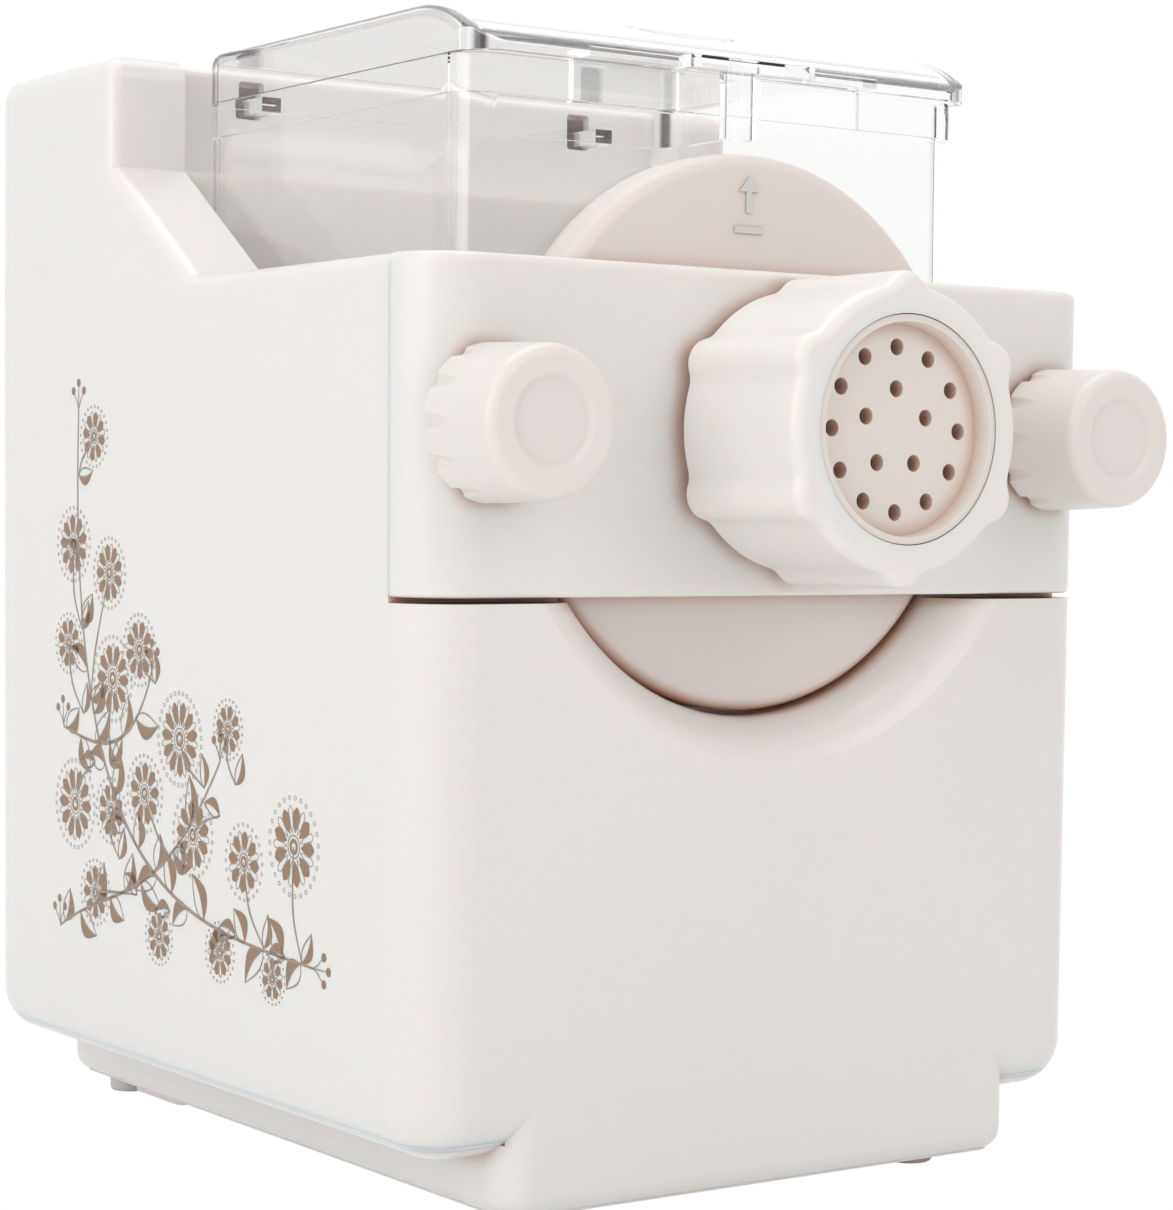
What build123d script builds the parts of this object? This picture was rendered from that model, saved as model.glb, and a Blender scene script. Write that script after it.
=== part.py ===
"""Electric pasta maker: a tall housing with a clear mixing cup, a geared motor drive and a clamped
front plate that carries the extruder barrel, the die and its ring nut.

Frame: millimetres, +Z up, the front faces -Y, +X is to the right of someone who faces the machine.
The origin is on the table, under the middle of the overall box.
"""

from build123d import *
from math import acos, atan2, cos, degrees, hypot, pi, radians, sin, tan
import os

os.makedirs("parts", exist_ok=True)

# ---------------------------------------------------------------- driving dimensions

# overall form
body_width = 200.0
body_depth = 228.0  # front plate to rear wall
nut_reach = 43.5  # ring nut in front of the front plate
foot_height = 4.0
base_height = 14.0  # recessed base under the body
deck_level = 218.5  # top of the front half
tower_level = 277.7  # top of the rear tower
tower_gap = 1.0  # tower face behind the cup
axis_level = 181.2  # screw, barrel, die and clamp studs
draft_angle = 0.35
wall = 3.0
corner_radius = 14.8
hem_radius = 12.0  # round under the body
top_radius = 6.0
soft_radius = 3.5  # edges of the deck, the ramps and the tower's front corners
edge_radius = 2.0

# recessed base
base_inset = 24.0  # inside the body's sides
base_setback = 3.0  # inside the body's rear
base_corner = 8.0
base_edge = 5.5

# ramps beside the cup
ramp_gap = 3.2  # beside the cup's rim
ramp_height = 30.5
ramp_length = 44.0
ramp_foot_radius = 8.0

# front plate
plate_height = 75.5
plate_depth = 14.5
plate_gap = 1.3
plate_boss_radius = 9.0

# extruder cover, barrel, die and ring nut
cover_radius = 66.0
cover_thickness = 10.8
cover_front = 13.2  # behind the plate's front
cover_round = 3.5
scoop_radius = 14.8  # bell mouth in the lower front
barrel_radius = 27.0
barrel_bore = 22.5
barrel_reach = 34.5
spigot_radius = cover_radius - 8.4
spigot_length = 5.0
die_thickness = 4.1
die_rim = 4.6
die_flange = 2.8
hole_radius = 1.9
outer_hole_circle = 18.45
inner_hole_circle = 9.15
outer_holes = 12
inner_holes = 5
nut_radius = 32.5
nut_back = 2.5  # in front of the plate
lobe_reach = 35.4
lobe_radius = 6.0
lobe_count = 6
lip_bore = 25.75
screw_clearance = 0.4

# knobs and studs
knob_inset = 16.8  # from the body's side
knob_length = 24.2
knob_front_radius = 16.6
knob_back_radius = 17.6
knob_back = 1.5
knob_flutes = 12
dish_radius = 9.0
dish_depth = 0.8
stud_radius = 4.0
stud_reach = 15.0

# mixing cup and lid
cup_front = 25.0  # behind the plate's front
cup_half_width = 74.0
cup_wall = 2.5
cup_corner = 8.5
trough_radius = 64.0
shoulder_level = 206.0
rim_level = 266.0
rim_band = 9.0
rim_proud = 1.3
cup_mouth_radius = spigot_radius + 2.4
lid_rise = 13.0
lid_wall = 2.2
lid_radius = 3.5  # round of its upper edges
lid_front = 19.0
lid_crown = 27.0  # length of the curved front
tab_width = 5.6
tab_inset = 22.0  # from the cup's side
hinge_recess = 11.5  # hinge wall behind the tower's face
pivot_level = 268.0
pivot_inset = 3.0  # behind the hinge wall

# drive
gear_module = 1.5
pressure_angle = 25.0
backlash = 0.16
pinion_teeth = 14
wheel_teeth = 58
output_teeth = 62
gear_width = 8.0
output_width = 11.0
layer_gap = 2.5
gear_clearance = 1.7  # in front of the first layer
pad_height = 3.3  # between the cup's cradle and the gearbox
board_room = 40.4  # behind the gearbox
output_shaft_radius = 7.0
axle_radius = 4.0
motor_shaft_radius = 4.0
running = 0.05  # radial clearance of shafts in their bearings
fit = 0.3  # gap between pieces that pass each other
cradle_gap = 0.6  # around the cup
cradle_wall = 3.5

# ---------------------------------------------------------------- places worked out from them

front = (nut_reach - body_depth) / 2
rear = front + body_depth
base_level = foot_height
body_level = base_level + base_height
body_rise = deck_level - body_level
body_draft = body_rise * tan(radians(draft_angle))
band_level = deck_level - plate_height
base_width = body_width - 2 * base_inset
base_length = body_depth - base_setback - body_draft
base_middle = front + body_draft + base_length / 2
lid_level = rim_level + lid_rise
drive_layers = gear_clearance + gear_width + layer_gap + output_width + layer_gap
cup_rear = body_depth - board_room - drive_layers - wall - pad_height - cradle_wall - cradle_gap
cup_length = cup_rear - cup_front
tower_face = cup_rear + tower_gap  # behind the plate's front, as all depths are
tower_depth = body_depth - tower_face
hinge_face = tower_face + hinge_recess
ramp_level = deck_level + ramp_height
ramp_inner = cup_half_width + rim_proud + ramp_gap
knob_spread = body_width / 2 - knob_inset
tab_spread = cup_half_width - tab_inset


def across(depth, x=0.0, z=0.0):
    """Plane that faces the front, at a depth behind the front plate's face."""
    return Plane(origin=(x, front + depth, z), x_dir=(1, 0, 0), z_dir=(0, -1, 0))


def side_view(x=0.0):
    """Plane with depth behind the front face along its first axis and height along its second."""
    return Plane(origin=(x, front, 0), x_dir=(0, 1, 0), z_dir=(1, 0, 0))


def half_section(x=0.0, z=axis_level):
    """Plane for half sections of turned pieces: radius, then depth behind the front face."""
    return Plane(origin=(x, front, z), x_dir=(1, 0, 0), z_dir=(0, 0, 1))


def turning_axis(x=0.0, z=axis_level):
    """Axis from front to rear that turned pieces are revolved about."""
    return Axis((x, front, z), (0, 1, 0))


def turned(section, x=0.0, z=axis_level):
    """Solid of revolution from a closed outline of (radius, depth) points."""
    with BuildPart() as body:
        with BuildSketch(half_section(x, z)):
            with BuildLine():
                Polyline(*section, close=True)
            make_face()
        revolve(axis=turning_axis(x, z))
    return body.part


def tube(outer, inner, start, end, x=0.0, z=axis_level):
    """Tube about a front-to-rear axis, from one depth to another."""
    return turned([(inner, start), (outer, start), (outer, end), (inner, end)], x, z)


def trough(radius, half_width, top):
    """Front view of a trough: straight sides that lean in to a round bottom about the screw's axis."""
    rise = shoulder_level - axis_level
    lean = atan2(rise, half_width) - acos(radius / hypot(half_width, rise))
    touch = (radius * cos(lean), axis_level + radius * sin(lean))
    with BuildSketch() as outline:
        with BuildLine():
            Polyline((-half_width, top), (half_width, top), (half_width, shoulder_level), touch)
            ThreePointArc(touch, (0, axis_level - radius), (-touch[0], touch[1]))
            Polyline((-touch[0], touch[1]), (-half_width, shoulder_level), (-half_width, top))
        make_face()
    return outline.sketch


# ---------------------------------------------------------------- body block

# The front plate is cut from the same block as the housing, so that its corners carry on the same lines.
with BuildPart() as block:
    with BuildSketch(Plane.XY.offset(deck_level)):
        with Locations((0, front + body_depth / 2)):
            RectangleRounded(body_width, body_depth, corner_radius)
    extrude(amount=-body_rise, taper=draft_angle)
    fillet(block.faces().sort_by(Axis.Z)[0].edges(), radius=hem_radius)

# ---------------------------------------------------------------- main housing

cover_back = cover_front + cover_thickness
seat_depth = cover_back + fit  # front of the cup's seat
recess_radius = cover_radius + 1.2
scoop_reach = recess_radius + scoop_radius
ring_radius = scoop_reach + wall
opening_half_width = cup_half_width + rim_proud + fit
bulkhead = plate_depth + running
bulkhead_height = plate_height + plate_gap + wall
stud_boss_length = 16.0
stud_boss_radius = 9.0
base_inner_width = base_width - 2 * wall
slot_height = 10.0
slot_rise = 2.4
slot_width = tab_width + 2.0
vent_width = 3.0
vent_length = 34.0
vent_pitch = 8.0
vent_count = 9
vent_level = 58.0
inlet_radius = 7.0
inlet_level = 40.0
inlet_x = body_width / 2 - 38.0
panel_width = 124.0
panel_length = 36.0
panel_thickness = 2.0
panel_y = rear - 30.0
boss_radius = 4.5
cover_plate = 3.0  # thickness of the base cover
base_screw_x = base_inner_width / 2 - boss_radius + 0.5
base_screw_length = base_length - 140.0  # front to rear
board_drop = 10.0  # control board under the tower's roof
board_post_x = panel_width / 2 - 2.0
screw_radius = 1.5
board_width = 80.0  # power board on the rear wall
board_height = 76.0
board_level = 136.0
board_rear = body_depth - 18.0

with BuildPart() as cavity:
    with BuildSketch(Plane.XY.offset(body_level + wall)):
        with Locations((0, front + body_depth / 2)):
            RectangleRounded(
                body_width - 2 * (wall + body_draft),
                body_depth - 2 * (wall + body_draft),
                corner_radius - wall,
            )
    extrude(amount=body_rise - 2 * wall)
    with BuildSketch(Plane.XY.offset(base_level)):
        with Locations((0, base_middle)):
            RectangleRounded(base_inner_width, base_length - 2 * wall, base_corner - wall)
    extrude(amount=base_height + wall)
    # the ring behind the scoop and the bulkhead beside the cup stay solid
    with BuildSketch(across(seat_depth + wall, z=axis_level)):
        Circle(ring_radius)
    extrude(amount=seat_depth + wall, mode=Mode.SUBTRACT)
    with BuildSketch(across(bulkhead + wall, z=deck_level - bulkhead_height / 2)):
        Rectangle(body_width, bulkhead_height)
    extrude(amount=bulkhead + wall, mode=Mode.SUBTRACT)
    for side in (-1, 1):
        with BuildSketch(across(bulkhead + stud_boss_length, x=side * knob_spread, z=axis_level)):
            Circle(stud_boss_radius)
        extrude(amount=stud_boss_length, mode=Mode.SUBTRACT)
    with BuildSketch(Plane.XY.offset(deck_level - wall)):
        with Locations((0, front + (tower_face + body_depth) / 2)):
            RectangleRounded(body_width - 2 * wall, tower_depth - 2 * wall, corner_radius - wall)
    extrude(amount=tower_level - deck_level)
    with BuildSketch(Plane.XY.offset(ramp_level - wall)):
        with Locations((0, front + (hinge_face + wall) / 2)):
            Rectangle(2 * (ramp_inner + wall), hinge_face + wall)
    extrude(amount=tower_level - ramp_level, mode=Mode.SUBTRACT)

with BuildPart() as upper:
    with BuildSketch(side_view(-body_width / 2)):
        with BuildLine():
            Polyline(
                (tower_face - ramp_length, deck_level),
                (tower_face, ramp_level),
                (tower_face, tower_level),
                (body_depth, tower_level),
                (body_depth, deck_level),
                close=True,
            )
        make_face()
    extrude(amount=body_width)
    with BuildSketch(Plane.XY.offset(deck_level)):
        with Locations((0, front + body_depth / 2)):
            RectangleRounded(body_width, body_depth, corner_radius)
    extrude(amount=tower_level - deck_level, mode=Mode.INTERSECT)
    fillet(upper.edges().filter_by(Plane.XY).group_by(Axis.Z)[-1], radius=top_radius)
    # room for the cup between the ramps, and for the lid's hinge between the tower's shoulders
    with BuildSketch(Plane.XY.offset(deck_level)):
        with Locations((0, front + tower_face / 2)):
            Rectangle(2 * ramp_inner, tower_face)
    extrude(amount=tower_level, mode=Mode.SUBTRACT)
    with BuildSketch(Plane.XY.offset(ramp_level)):
        with Locations((0, front + hinge_face / 2)):
            Rectangle(2 * ramp_inner, hinge_face)
    extrude(amount=tower_level, mode=Mode.SUBTRACT)
    across_edges = upper.edges().filter_by(Axis.X)
    hinge_edges = across_edges.filter_by(lambda e: abs(e.center().Y - front - hinge_face) < fit)
    fillet(hinge_edges.sort_by(Axis.Z)[-1], radius=edge_radius)


def at_ramp_foot(edge):
    """True for the two edges where a ramp meets the deck."""
    middle = edge.center()
    beside = abs(middle.X) > ramp_inner
    level = abs(middle.Z - deck_level) < running
    return beside and level and abs(middle.Y - front - tower_face + ramp_length) < running


def on_flank(edge):
    """True for the outer edges of the deck, the ramps and the tower's front corners."""
    ends = edge.bounding_box()
    outside = abs(abs(edge.center().X) - body_width / 2) < running
    return outside and ends.min.Y < front + tower_face + running and ends.min.Z > deck_level - running


with BuildPart() as housing:
    add(block.part)
    with BuildSketch(Plane.XY.offset(base_level)):
        with Locations((0, base_middle)):
            RectangleRounded(base_width, base_length, base_corner)
    extrude(amount=base_height + hem_radius)
    fillet(housing.faces().sort_by(Axis.Z)[0].edges(), radius=base_edge)
    # tower and ramps
    add(upper.part)
    fillet(housing.edges().filter_by(at_ramp_foot), radius=ramp_foot_radius)
    fillet(housing.edges().filter_by(on_flank), radius=soft_radius)
    add(cavity.part, mode=Mode.SUBTRACT)
    # room for the front plate
    with BuildSketch(Plane.XY.offset(band_level - plate_gap)):
        with Locations((0, front + bulkhead / 2)):
            Rectangle(body_width + 2 * wall, bulkhead)
    extrude(amount=plate_height + plate_gap + wall, mode=Mode.SUBTRACT)
    # seat of the extruder cover, and the scoop in front of it
    with BuildSketch(across(seat_depth + 2 * wall, z=axis_level)):
        Circle(recess_radius)
    extrude(amount=seat_depth + 3 * wall, mode=Mode.SUBTRACT)
    with BuildSketch(half_section()):
        with BuildLine():
            Line((recess_radius, scoop_radius), (recess_radius - wall, scoop_radius))
            Line((recess_radius - wall, scoop_radius), (recess_radius - wall, -wall))
            Line((recess_radius - wall, -wall), (scoop_reach, -wall))
            Line((scoop_reach, -wall), (scoop_reach, 0))
            RadiusArc((scoop_reach, 0), (recess_radius, scoop_radius), scoop_radius)
        make_face()
    revolve(axis=turning_axis(), mode=Mode.SUBTRACT)
    # opening for the cup
    with BuildSketch(Plane.XY.offset(shoulder_level - 2 * wall)):
        with Locations((0, front + (cup_front - fit + tower_face) / 2)):
            Rectangle(2 * opening_half_width, tower_face - cup_front + fit)
    extrude(amount=deck_level - shoulder_level + 3 * wall, mode=Mode.SUBTRACT)
    with BuildSketch(across(tower_face)):
        add(trough(trough_radius + cradle_gap, cup_half_width + cradle_gap, deck_level))
    extrude(amount=tower_face - cup_front + fit, mode=Mode.SUBTRACT)
    # slots for the lid's rear tabs
    for side in (-1, 1):
        with BuildSketch(across(hinge_face + 2 * wall, x=side * tab_spread, z=pivot_level + slot_rise)):
            RectangleRounded(slot_width, slot_height, edge_radius / 2)
        extrude(amount=3 * wall, mode=Mode.SUBTRACT)
    # seat of the control panel, with a window under it
    with BuildSketch(Plane.XY.offset(tower_level)):
        with Locations((0, panel_y)):
            RectangleRounded(panel_width, panel_length, corner_radius / 2)
    extrude(amount=-panel_thickness, mode=Mode.SUBTRACT)
    with BuildSketch(Plane.XY.offset(tower_level - wall)):
        with Locations((0, panel_y)):
            RectangleRounded(panel_width - 4 * wall, panel_length - 4 * wall, edge_radius)
    extrude(amount=2 * wall, mode=Mode.SUBTRACT)
    # posts of the control board, and bosses for the base screws
    with BuildSketch(Plane.XY.offset(tower_level - wall)):
        with Locations((-board_post_x, panel_y), (board_post_x, panel_y)):
            Circle(boss_radius - 1.5)
    extrude(amount=-board_drop)
    with BuildSketch(Plane.XY.offset(base_level + cover_plate)):
        with Locations((0, base_middle)):
            with GridLocations(2 * base_screw_x, base_screw_length, 2, 2):
                Circle(boss_radius)
    extrude(amount=base_height)
    with BuildSketch(Plane.XY.offset(base_level + cover_plate)):
        with Locations((0, base_middle)):
            with GridLocations(2 * base_screw_x, base_screw_length, 2, 2):
                Circle(screw_radius + running)
    extrude(amount=base_height - 1, mode=Mode.SUBTRACT)
    # standoffs of the power board
    with BuildSketch(across(body_depth - wall - body_draft / 2, z=board_level)):
        with GridLocations(board_width - 8, board_height - 8, 2, 2):
            Circle(boss_radius - 1.5)
    extrude(amount=body_depth - wall - body_draft / 2 - board_rear)
    # rear vents and cord inlet
    with BuildSketch(across(body_depth + wall, z=vent_level)):
        with GridLocations(vent_pitch, 0, vent_count, 1):
            SlotOverall(vent_length, vent_width, rotation=90)
    extrude(amount=3 * wall, mode=Mode.SUBTRACT)
    with BuildSketch(across(body_depth + wall, x=-inlet_x, z=inlet_level)):
        Circle(inlet_radius)
    extrude(amount=3 * wall, mode=Mode.SUBTRACT)
    # holes for the studs
    for side in (-1, 1):
        with BuildSketch(across(bulkhead + stud_boss_length, x=side * knob_spread, z=axis_level)):
            Circle(stud_radius + running)
        extrude(amount=stud_boss_length + wall, mode=Mode.SUBTRACT)

housing.part.label = "main_housing"
export_step(housing.part, "parts/main_housing.step")

# ---------------------------------------------------------------- front plate

barrel_boss = barrel_radius + 9.0
rib_width = 1.8
rib_offset = 7.0
rib_middle = (barrel_boss + knob_spread - plate_boss_radius) / 2

with BuildPart() as plate_pocket:
    with BuildSketch(Plane.XY.offset(band_level + wall)):
        with Locations((0, front + wall + body_depth / 2)):
            RectangleRounded(body_width - 2 * wall - 1, body_depth, corner_radius - wall)
    extrude(amount=plate_height - 2 * wall)
    add(tube(barrel_boss, 0, 0, cover_front), mode=Mode.SUBTRACT)
    for side in (-1, 1):
        add(tube(plate_boss_radius, 0, 0, plate_depth, x=side * knob_spread), mode=Mode.SUBTRACT)
    # stiffening ribs between the bosses
    with BuildSketch(across(cover_front, z=band_level + plate_height / 2)):
        for side in (-1, 1):
            with Locations((side * (rib_middle - rib_offset), 0), (side * (rib_middle + rib_offset), 0)):
                Rectangle(rib_width, plate_height)
    extrude(amount=cover_front, mode=Mode.SUBTRACT)

with BuildPart() as plate:
    add(block.part)
    with BuildSketch(Plane.XY.offset(band_level)):
        with Locations((0, front + plate_depth / 2)):
            Rectangle(body_width + wall, plate_depth)
    extrude(amount=plate_height, mode=Mode.INTERSECT)
    fillet(plate.faces().sort_by(Axis.Z)[-1].edges().sort_by(Axis.Y)[:-1], radius=edge_radius)
    fillet(plate.faces().sort_by(Axis.Z)[0].edges().sort_by(Axis.Y)[:-1], radius=edge_radius / 2)
    add(plate_pocket.part, mode=Mode.SUBTRACT)
    # the extruder cover nests in the back, the barrel and the studs pass through
    add(tube(cover_radius + fit, 0, cover_front, plate_depth + wall), mode=Mode.SUBTRACT)
    add(tube(barrel_radius + 2 * fit, 0, -wall, plate_depth), mode=Mode.SUBTRACT)
    for side in (-1, 1):
        add(tube(stud_radius + fit, 0, -wall, plate_depth + wall, x=side * knob_spread), mode=Mode.SUBTRACT)

plate.part.label = "front_plate"
export_step(plate.part, "parts/front_plate.step")

# ---------------------------------------------------------------- extruder cover and its seal

seal_thickness = 0.7
entry_radius = 30.0
entry_depth = 7.0
spigot_wall = 3.0

with BuildPart() as cover:
    add(
        turned(
            [
                (barrel_bore, -barrel_reach),
                (barrel_radius, -barrel_reach),
                (barrel_radius, cover_front),
                (cover_radius, cover_front),
                (cover_radius, cover_back),
                (spigot_radius, cover_back),
                (spigot_radius, cover_back + spigot_length),
                (spigot_radius - spigot_wall, cover_back + spigot_length),
                (spigot_radius - spigot_wall, cover_back),
                (entry_radius, cover_back),
                (barrel_bore, cover_back - entry_depth),
            ]
        )
    )
    rim_edges = cover.edges().filter_by(GeomType.CIRCLE).filter_by(lambda e: abs(e.radius - cover_radius) < fit)
    fillet(rim_edges.sort_by(Axis.Y)[0], radius=cover_round)
    fillet(cover.edges().filter_by(GeomType.CIRCLE).sort_by(Axis.Y)[-2:], radius=edge_radius / 2)

cover.part.label = "extruder_cover"
export_step(cover.part, "parts/extruder_cover.step")

cover_seal = tube(cup_mouth_radius + 3, spigot_radius + 0.1, cover_back, cover_back + seal_thickness)
cover_seal.label = "cover_seal"
export_step(cover_seal, "parts/cover_seal.step")

# ---------------------------------------------------------------- die plate

die_back = -barrel_reach - running
die_step = die_back - die_flange
die_face = die_back - die_thickness
die_front = die_face - die_rim
die_radius = lip_bore - 0.2
dish_wall = 1.6

with BuildPart() as die:
    add(
        turned(
            [
                (0, die_back),
                (barrel_radius, die_back),
                (barrel_radius, die_step),
                (die_radius, die_step),
                (die_radius, die_front),
                (die_radius - dish_wall, die_front),
                (die_radius - dish_wall - 0.3, die_face),
                (0, die_face),
            ]
        )
    )
    with BuildSketch(across(die_back, z=axis_level)):
        with PolarLocations(outer_hole_circle, outer_holes, start_angle=90):
            Circle(hole_radius)
        with PolarLocations(inner_hole_circle, inner_holes, start_angle=90):
            Circle(hole_radius)
    extrude(amount=die_thickness, mode=Mode.SUBTRACT)

die.part.label = "die_plate"
export_step(die.part, "parts/die_plate.step")

# ---------------------------------------------------------------- ring nut

nut_front = -nut_reach
nut_bore = barrel_radius + screw_clearance

with BuildPart() as nut:
    with BuildSketch(across(-nut_back, z=axis_level)) as grip:
        Circle(nut_radius)
        with PolarLocations(lobe_reach - lobe_radius, lobe_count, start_angle=90):
            Circle(lobe_radius)
        fillet(grip.vertices(), radius=lobe_radius)
    extrude(amount=nut_reach - nut_back)
    fillet(nut.faces().sort_by(Axis.Y)[0].edges(), radius=edge_radius + 0.8)
    fillet(nut.faces().sort_by(Axis.Y)[-1].edges(), radius=edge_radius / 2)
    add(tube(nut_bore, 0, die_step - running, 0), mode=Mode.SUBTRACT)
    add(tube(lip_bore, 0, nut_front - 1, 0), mode=Mode.SUBTRACT)

nut.part.label = "ring_nut"
export_step(nut.part, "parts/ring_nut.step")

# ---------------------------------------------------------------- knobs, washers and studs

knob_front = -knob_back - knob_length
washer_radius = 9.0
flute_radius = 2.6
flute_depth = 1.1
flute_length = 0.62 * knob_length
flute_lean = degrees(atan2(flute_depth, flute_length))

for side, hand in ((-1, "left"), (1, "right")):
    place = side * knob_spread
    with BuildPart() as knob:
        with BuildSketch(half_section(place)):
            with BuildLine():
                Polyline(
                    (0, -knob_back),
                    (knob_back_radius, -knob_back),
                    (knob_front_radius, knob_front),
                    (dish_radius + 1.5, knob_front),
                    (dish_radius, knob_front + dish_depth),
                    (0, knob_front + dish_depth),
                    close=True,
                )
            make_face()
        revolve(axis=turning_axis(place))
        with BuildSketch(across(-knob_back, x=place, z=axis_level)):
            with PolarLocations(knob_back_radius + flute_radius - flute_depth, knob_flutes, start_angle=90):
                Circle(flute_radius)
        extrude(amount=flute_length, taper=flute_lean, mode=Mode.SUBTRACT)
        rims = knob.edges().filter_by(GeomType.CIRCLE).filter_by(lambda e: e.radius > knob_front_radius - 0.1)
        fillet(rims.sort_by(Axis.Y)[0], radius=edge_radius + 0.4)
        add(tube(stud_radius + screw_clearance / 2, 0, -stud_reach - 2, 0, x=place), mode=Mode.SUBTRACT)
        # recess that holds the washer
        add(tube(washer_radius + fit, 0, -knob_back - 0.5, 0, x=place), mode=Mode.SUBTRACT)
    knob.part.label = "knob_" + hand
    export_step(knob.part, "parts/knob_" + hand + ".step")

    washer = tube(washer_radius, stud_radius + fit, -knob_back - 0.4, 0, x=place)
    washer.label = "knob_washer_" + hand
    export_step(washer, "parts/knob_washer_" + hand + ".step")

stud_collar = 7.0
with BuildPart() as studs:
    for side in (-1, 1):
        add(tube(stud_radius, 0, -stud_reach, bulkhead + stud_boss_length, x=side * knob_spread))
        boss_end = bulkhead + stud_boss_length
        add(tube(stud_collar, 0, boss_end, boss_end + 4, x=side * knob_spread))

studs.part.label = "clamp_studs"
export_step(studs.part, "parts/clamp_studs.step")

# ---------------------------------------------------------------- mixing cup

hub_hole = 9.4

with BuildPart() as cup_inside:
    with BuildSketch(across(cup_rear - cup_wall)):
        add(trough(trough_radius - cup_wall, cup_half_width - cup_wall, rim_level + wall))
    extrude(amount=cup_length - 2 * cup_wall)
    with BuildSketch():
        with Locations((0, front + (cup_front + cup_rear) / 2)):
            RectangleRounded(2 * (cup_half_width - cup_wall), cup_length - 2 * cup_wall, cup_corner - cup_wall)
    extrude(amount=rim_level + wall, mode=Mode.INTERSECT)

with BuildPart() as cup:
    with BuildSketch(across(cup_rear)):
        add(trough(trough_radius, cup_half_width, rim_level))
    extrude(amount=cup_length)
    with BuildSketch():
        with Locations((0, front + (cup_front + cup_rear) / 2)):
            RectangleRounded(2 * cup_half_width, cup_length, cup_corner)
    extrude(amount=rim_level, mode=Mode.INTERSECT)
    with BuildSketch(Plane.XY.offset(rim_level - rim_band)):
        with Locations((0, front + (cup_front - rim_proud + cup_rear) / 2)):
            RectangleRounded(2 * (cup_half_width + rim_proud), cup_length + rim_proud, cup_corner + rim_proud)
    extrude(amount=rim_band)
    add(cup_inside.part, mode=Mode.SUBTRACT)
    add(tube(cup_mouth_radius, 0, cup_front - wall, cup_front + cup_wall), mode=Mode.SUBTRACT)
    add(tube(hub_hole, 0, cup_rear - cup_wall - 1, cup_rear + 1), mode=Mode.SUBTRACT)

cup.part.label = "mixing_cup"
export_step(cup.part, "parts/mixing_cup.step")

shaft_seal = tube(hub_hole - running, output_shaft_radius + fit, cup_rear - cup_wall, cup_rear)
shaft_seal.label = "shaft_seal"
export_step(shaft_seal, "parts/shaft_seal.step")

# ---------------------------------------------------------------- cradle under the cup

cradle_front = seat_depth + wall
cradle_rear = cup_rear + cradle_gap + cradle_wall

with BuildPart() as cradle:
    with BuildSketch(across(cradle_rear)):
        cradle_reach = cradle_gap + cradle_wall
        add(trough(trough_radius + cradle_reach, cup_half_width + cradle_reach, deck_level - wall))
    extrude(amount=cradle_rear - cradle_front)
    with BuildSketch(across(cradle_rear - cradle_wall)):
        add(trough(trough_radius + cradle_gap, cup_half_width + cradle_gap, deck_level))
    extrude(amount=cradle_rear, mode=Mode.SUBTRACT)
    add(tube(hub_hole + 4, 0, cup_rear, cradle_rear), mode=Mode.SUBTRACT)

cradle.part.label = "cup_cradle"
export_step(cradle.part, "parts/cup_cradle.step")

# ---------------------------------------------------------------- lid

crown_start = rim_level + 2.0
pivot_depth = hinge_face + pivot_inset
lid_rear = cup_rear - fit
lid_half_width = cup_half_width + rim_proud
catch_width = 38.0
catch_reach = 5.5
post_width = 9.4
post_drop = 15.0
post_thickness = 3.0
skirt_inner = 12.5
skirt_outer = cup_half_width - 31.0
skirt_depth = 28.5
skirt_drop = 9.0
flange_rise = 1.0
grip_length = 32.0
grip_breadth = 18.0
grip_depth = 1.4
corner_ease = 0.33  # 0.293 would be a true quarter circle
tab_thickness = 4.0


def eased_rectangle(width, length, corner):
    """Rectangle whose corner arcs meet its sides at a slight angle, where the curved front leaves them."""
    x = width / 2
    y = length / 2
    cut = corner_ease * corner
    with BuildSketch() as outline:
        with BuildLine():
            Line((corner - x, -y), (x - corner, -y))
            ThreePointArc((x - corner, -y), (x - cut, cut - y), (x, corner - y))
            Line((x, corner - y), (x, y - corner))
            ThreePointArc((x, y - corner), (x - cut, y - cut), (x - corner, y))
            Line((x - corner, y), (corner - x, y))
            ThreePointArc((corner - x, y), (cut - x, y - cut), (-x, y - corner))
            Line((-x, y - corner), (-x, corner - y))
            ThreePointArc((-x, corner - y), (cut - x, cut - y), (corner - x, -y))
        make_face()
    return outline.sketch


def lid_form(inset):
    """Solid lid with a curved front, smaller all round by the inset, and open-ended below."""
    nose = lid_front + inset
    crown = lid_level - inset
    with BuildPart() as form:
        with BuildSketch(side_view(-lid_half_width + inset)):
            with BuildLine():
                Line((nose, rim_level - inset), (nose, crown_start))
                TangentArc((lid_front + lid_crown, crown), (nose, crown_start), tangent=(-1, 0))
                Polyline(
                    (lid_front + lid_crown, crown),
                    (lid_rear - inset, crown),
                    (lid_rear - inset, rim_level - inset),
                    (nose, rim_level - inset),
                )
            make_face()
        extrude(amount=2 * (lid_half_width - inset))
        with BuildSketch(Plane.XY.offset(rim_level - inset)):
            with Locations((0, front + (lid_front + lid_rear) / 2)):
                add(
                    eased_rectangle(
                        2 * (lid_half_width - inset),
                        lid_rear - lid_front - 2 * inset,
                        cup_corner - inset,
                    )
                )
        extrude(amount=lid_rise + inset, mode=Mode.INTERSECT)
    return form.part


def on_lid_top(edge):
    """True for the edges around the lid's top, down the sides of its curved front."""
    ends = edge.bounding_box()
    crown_line = abs(ends.min.Y - front - lid_front - lid_crown) < running and ends.size.Y < running
    runs_level = ends.size.Z < running and not crown_line
    return ends.max.Z > lid_level - running and (runs_level or ends.size.Y > edge_radius)


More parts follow.
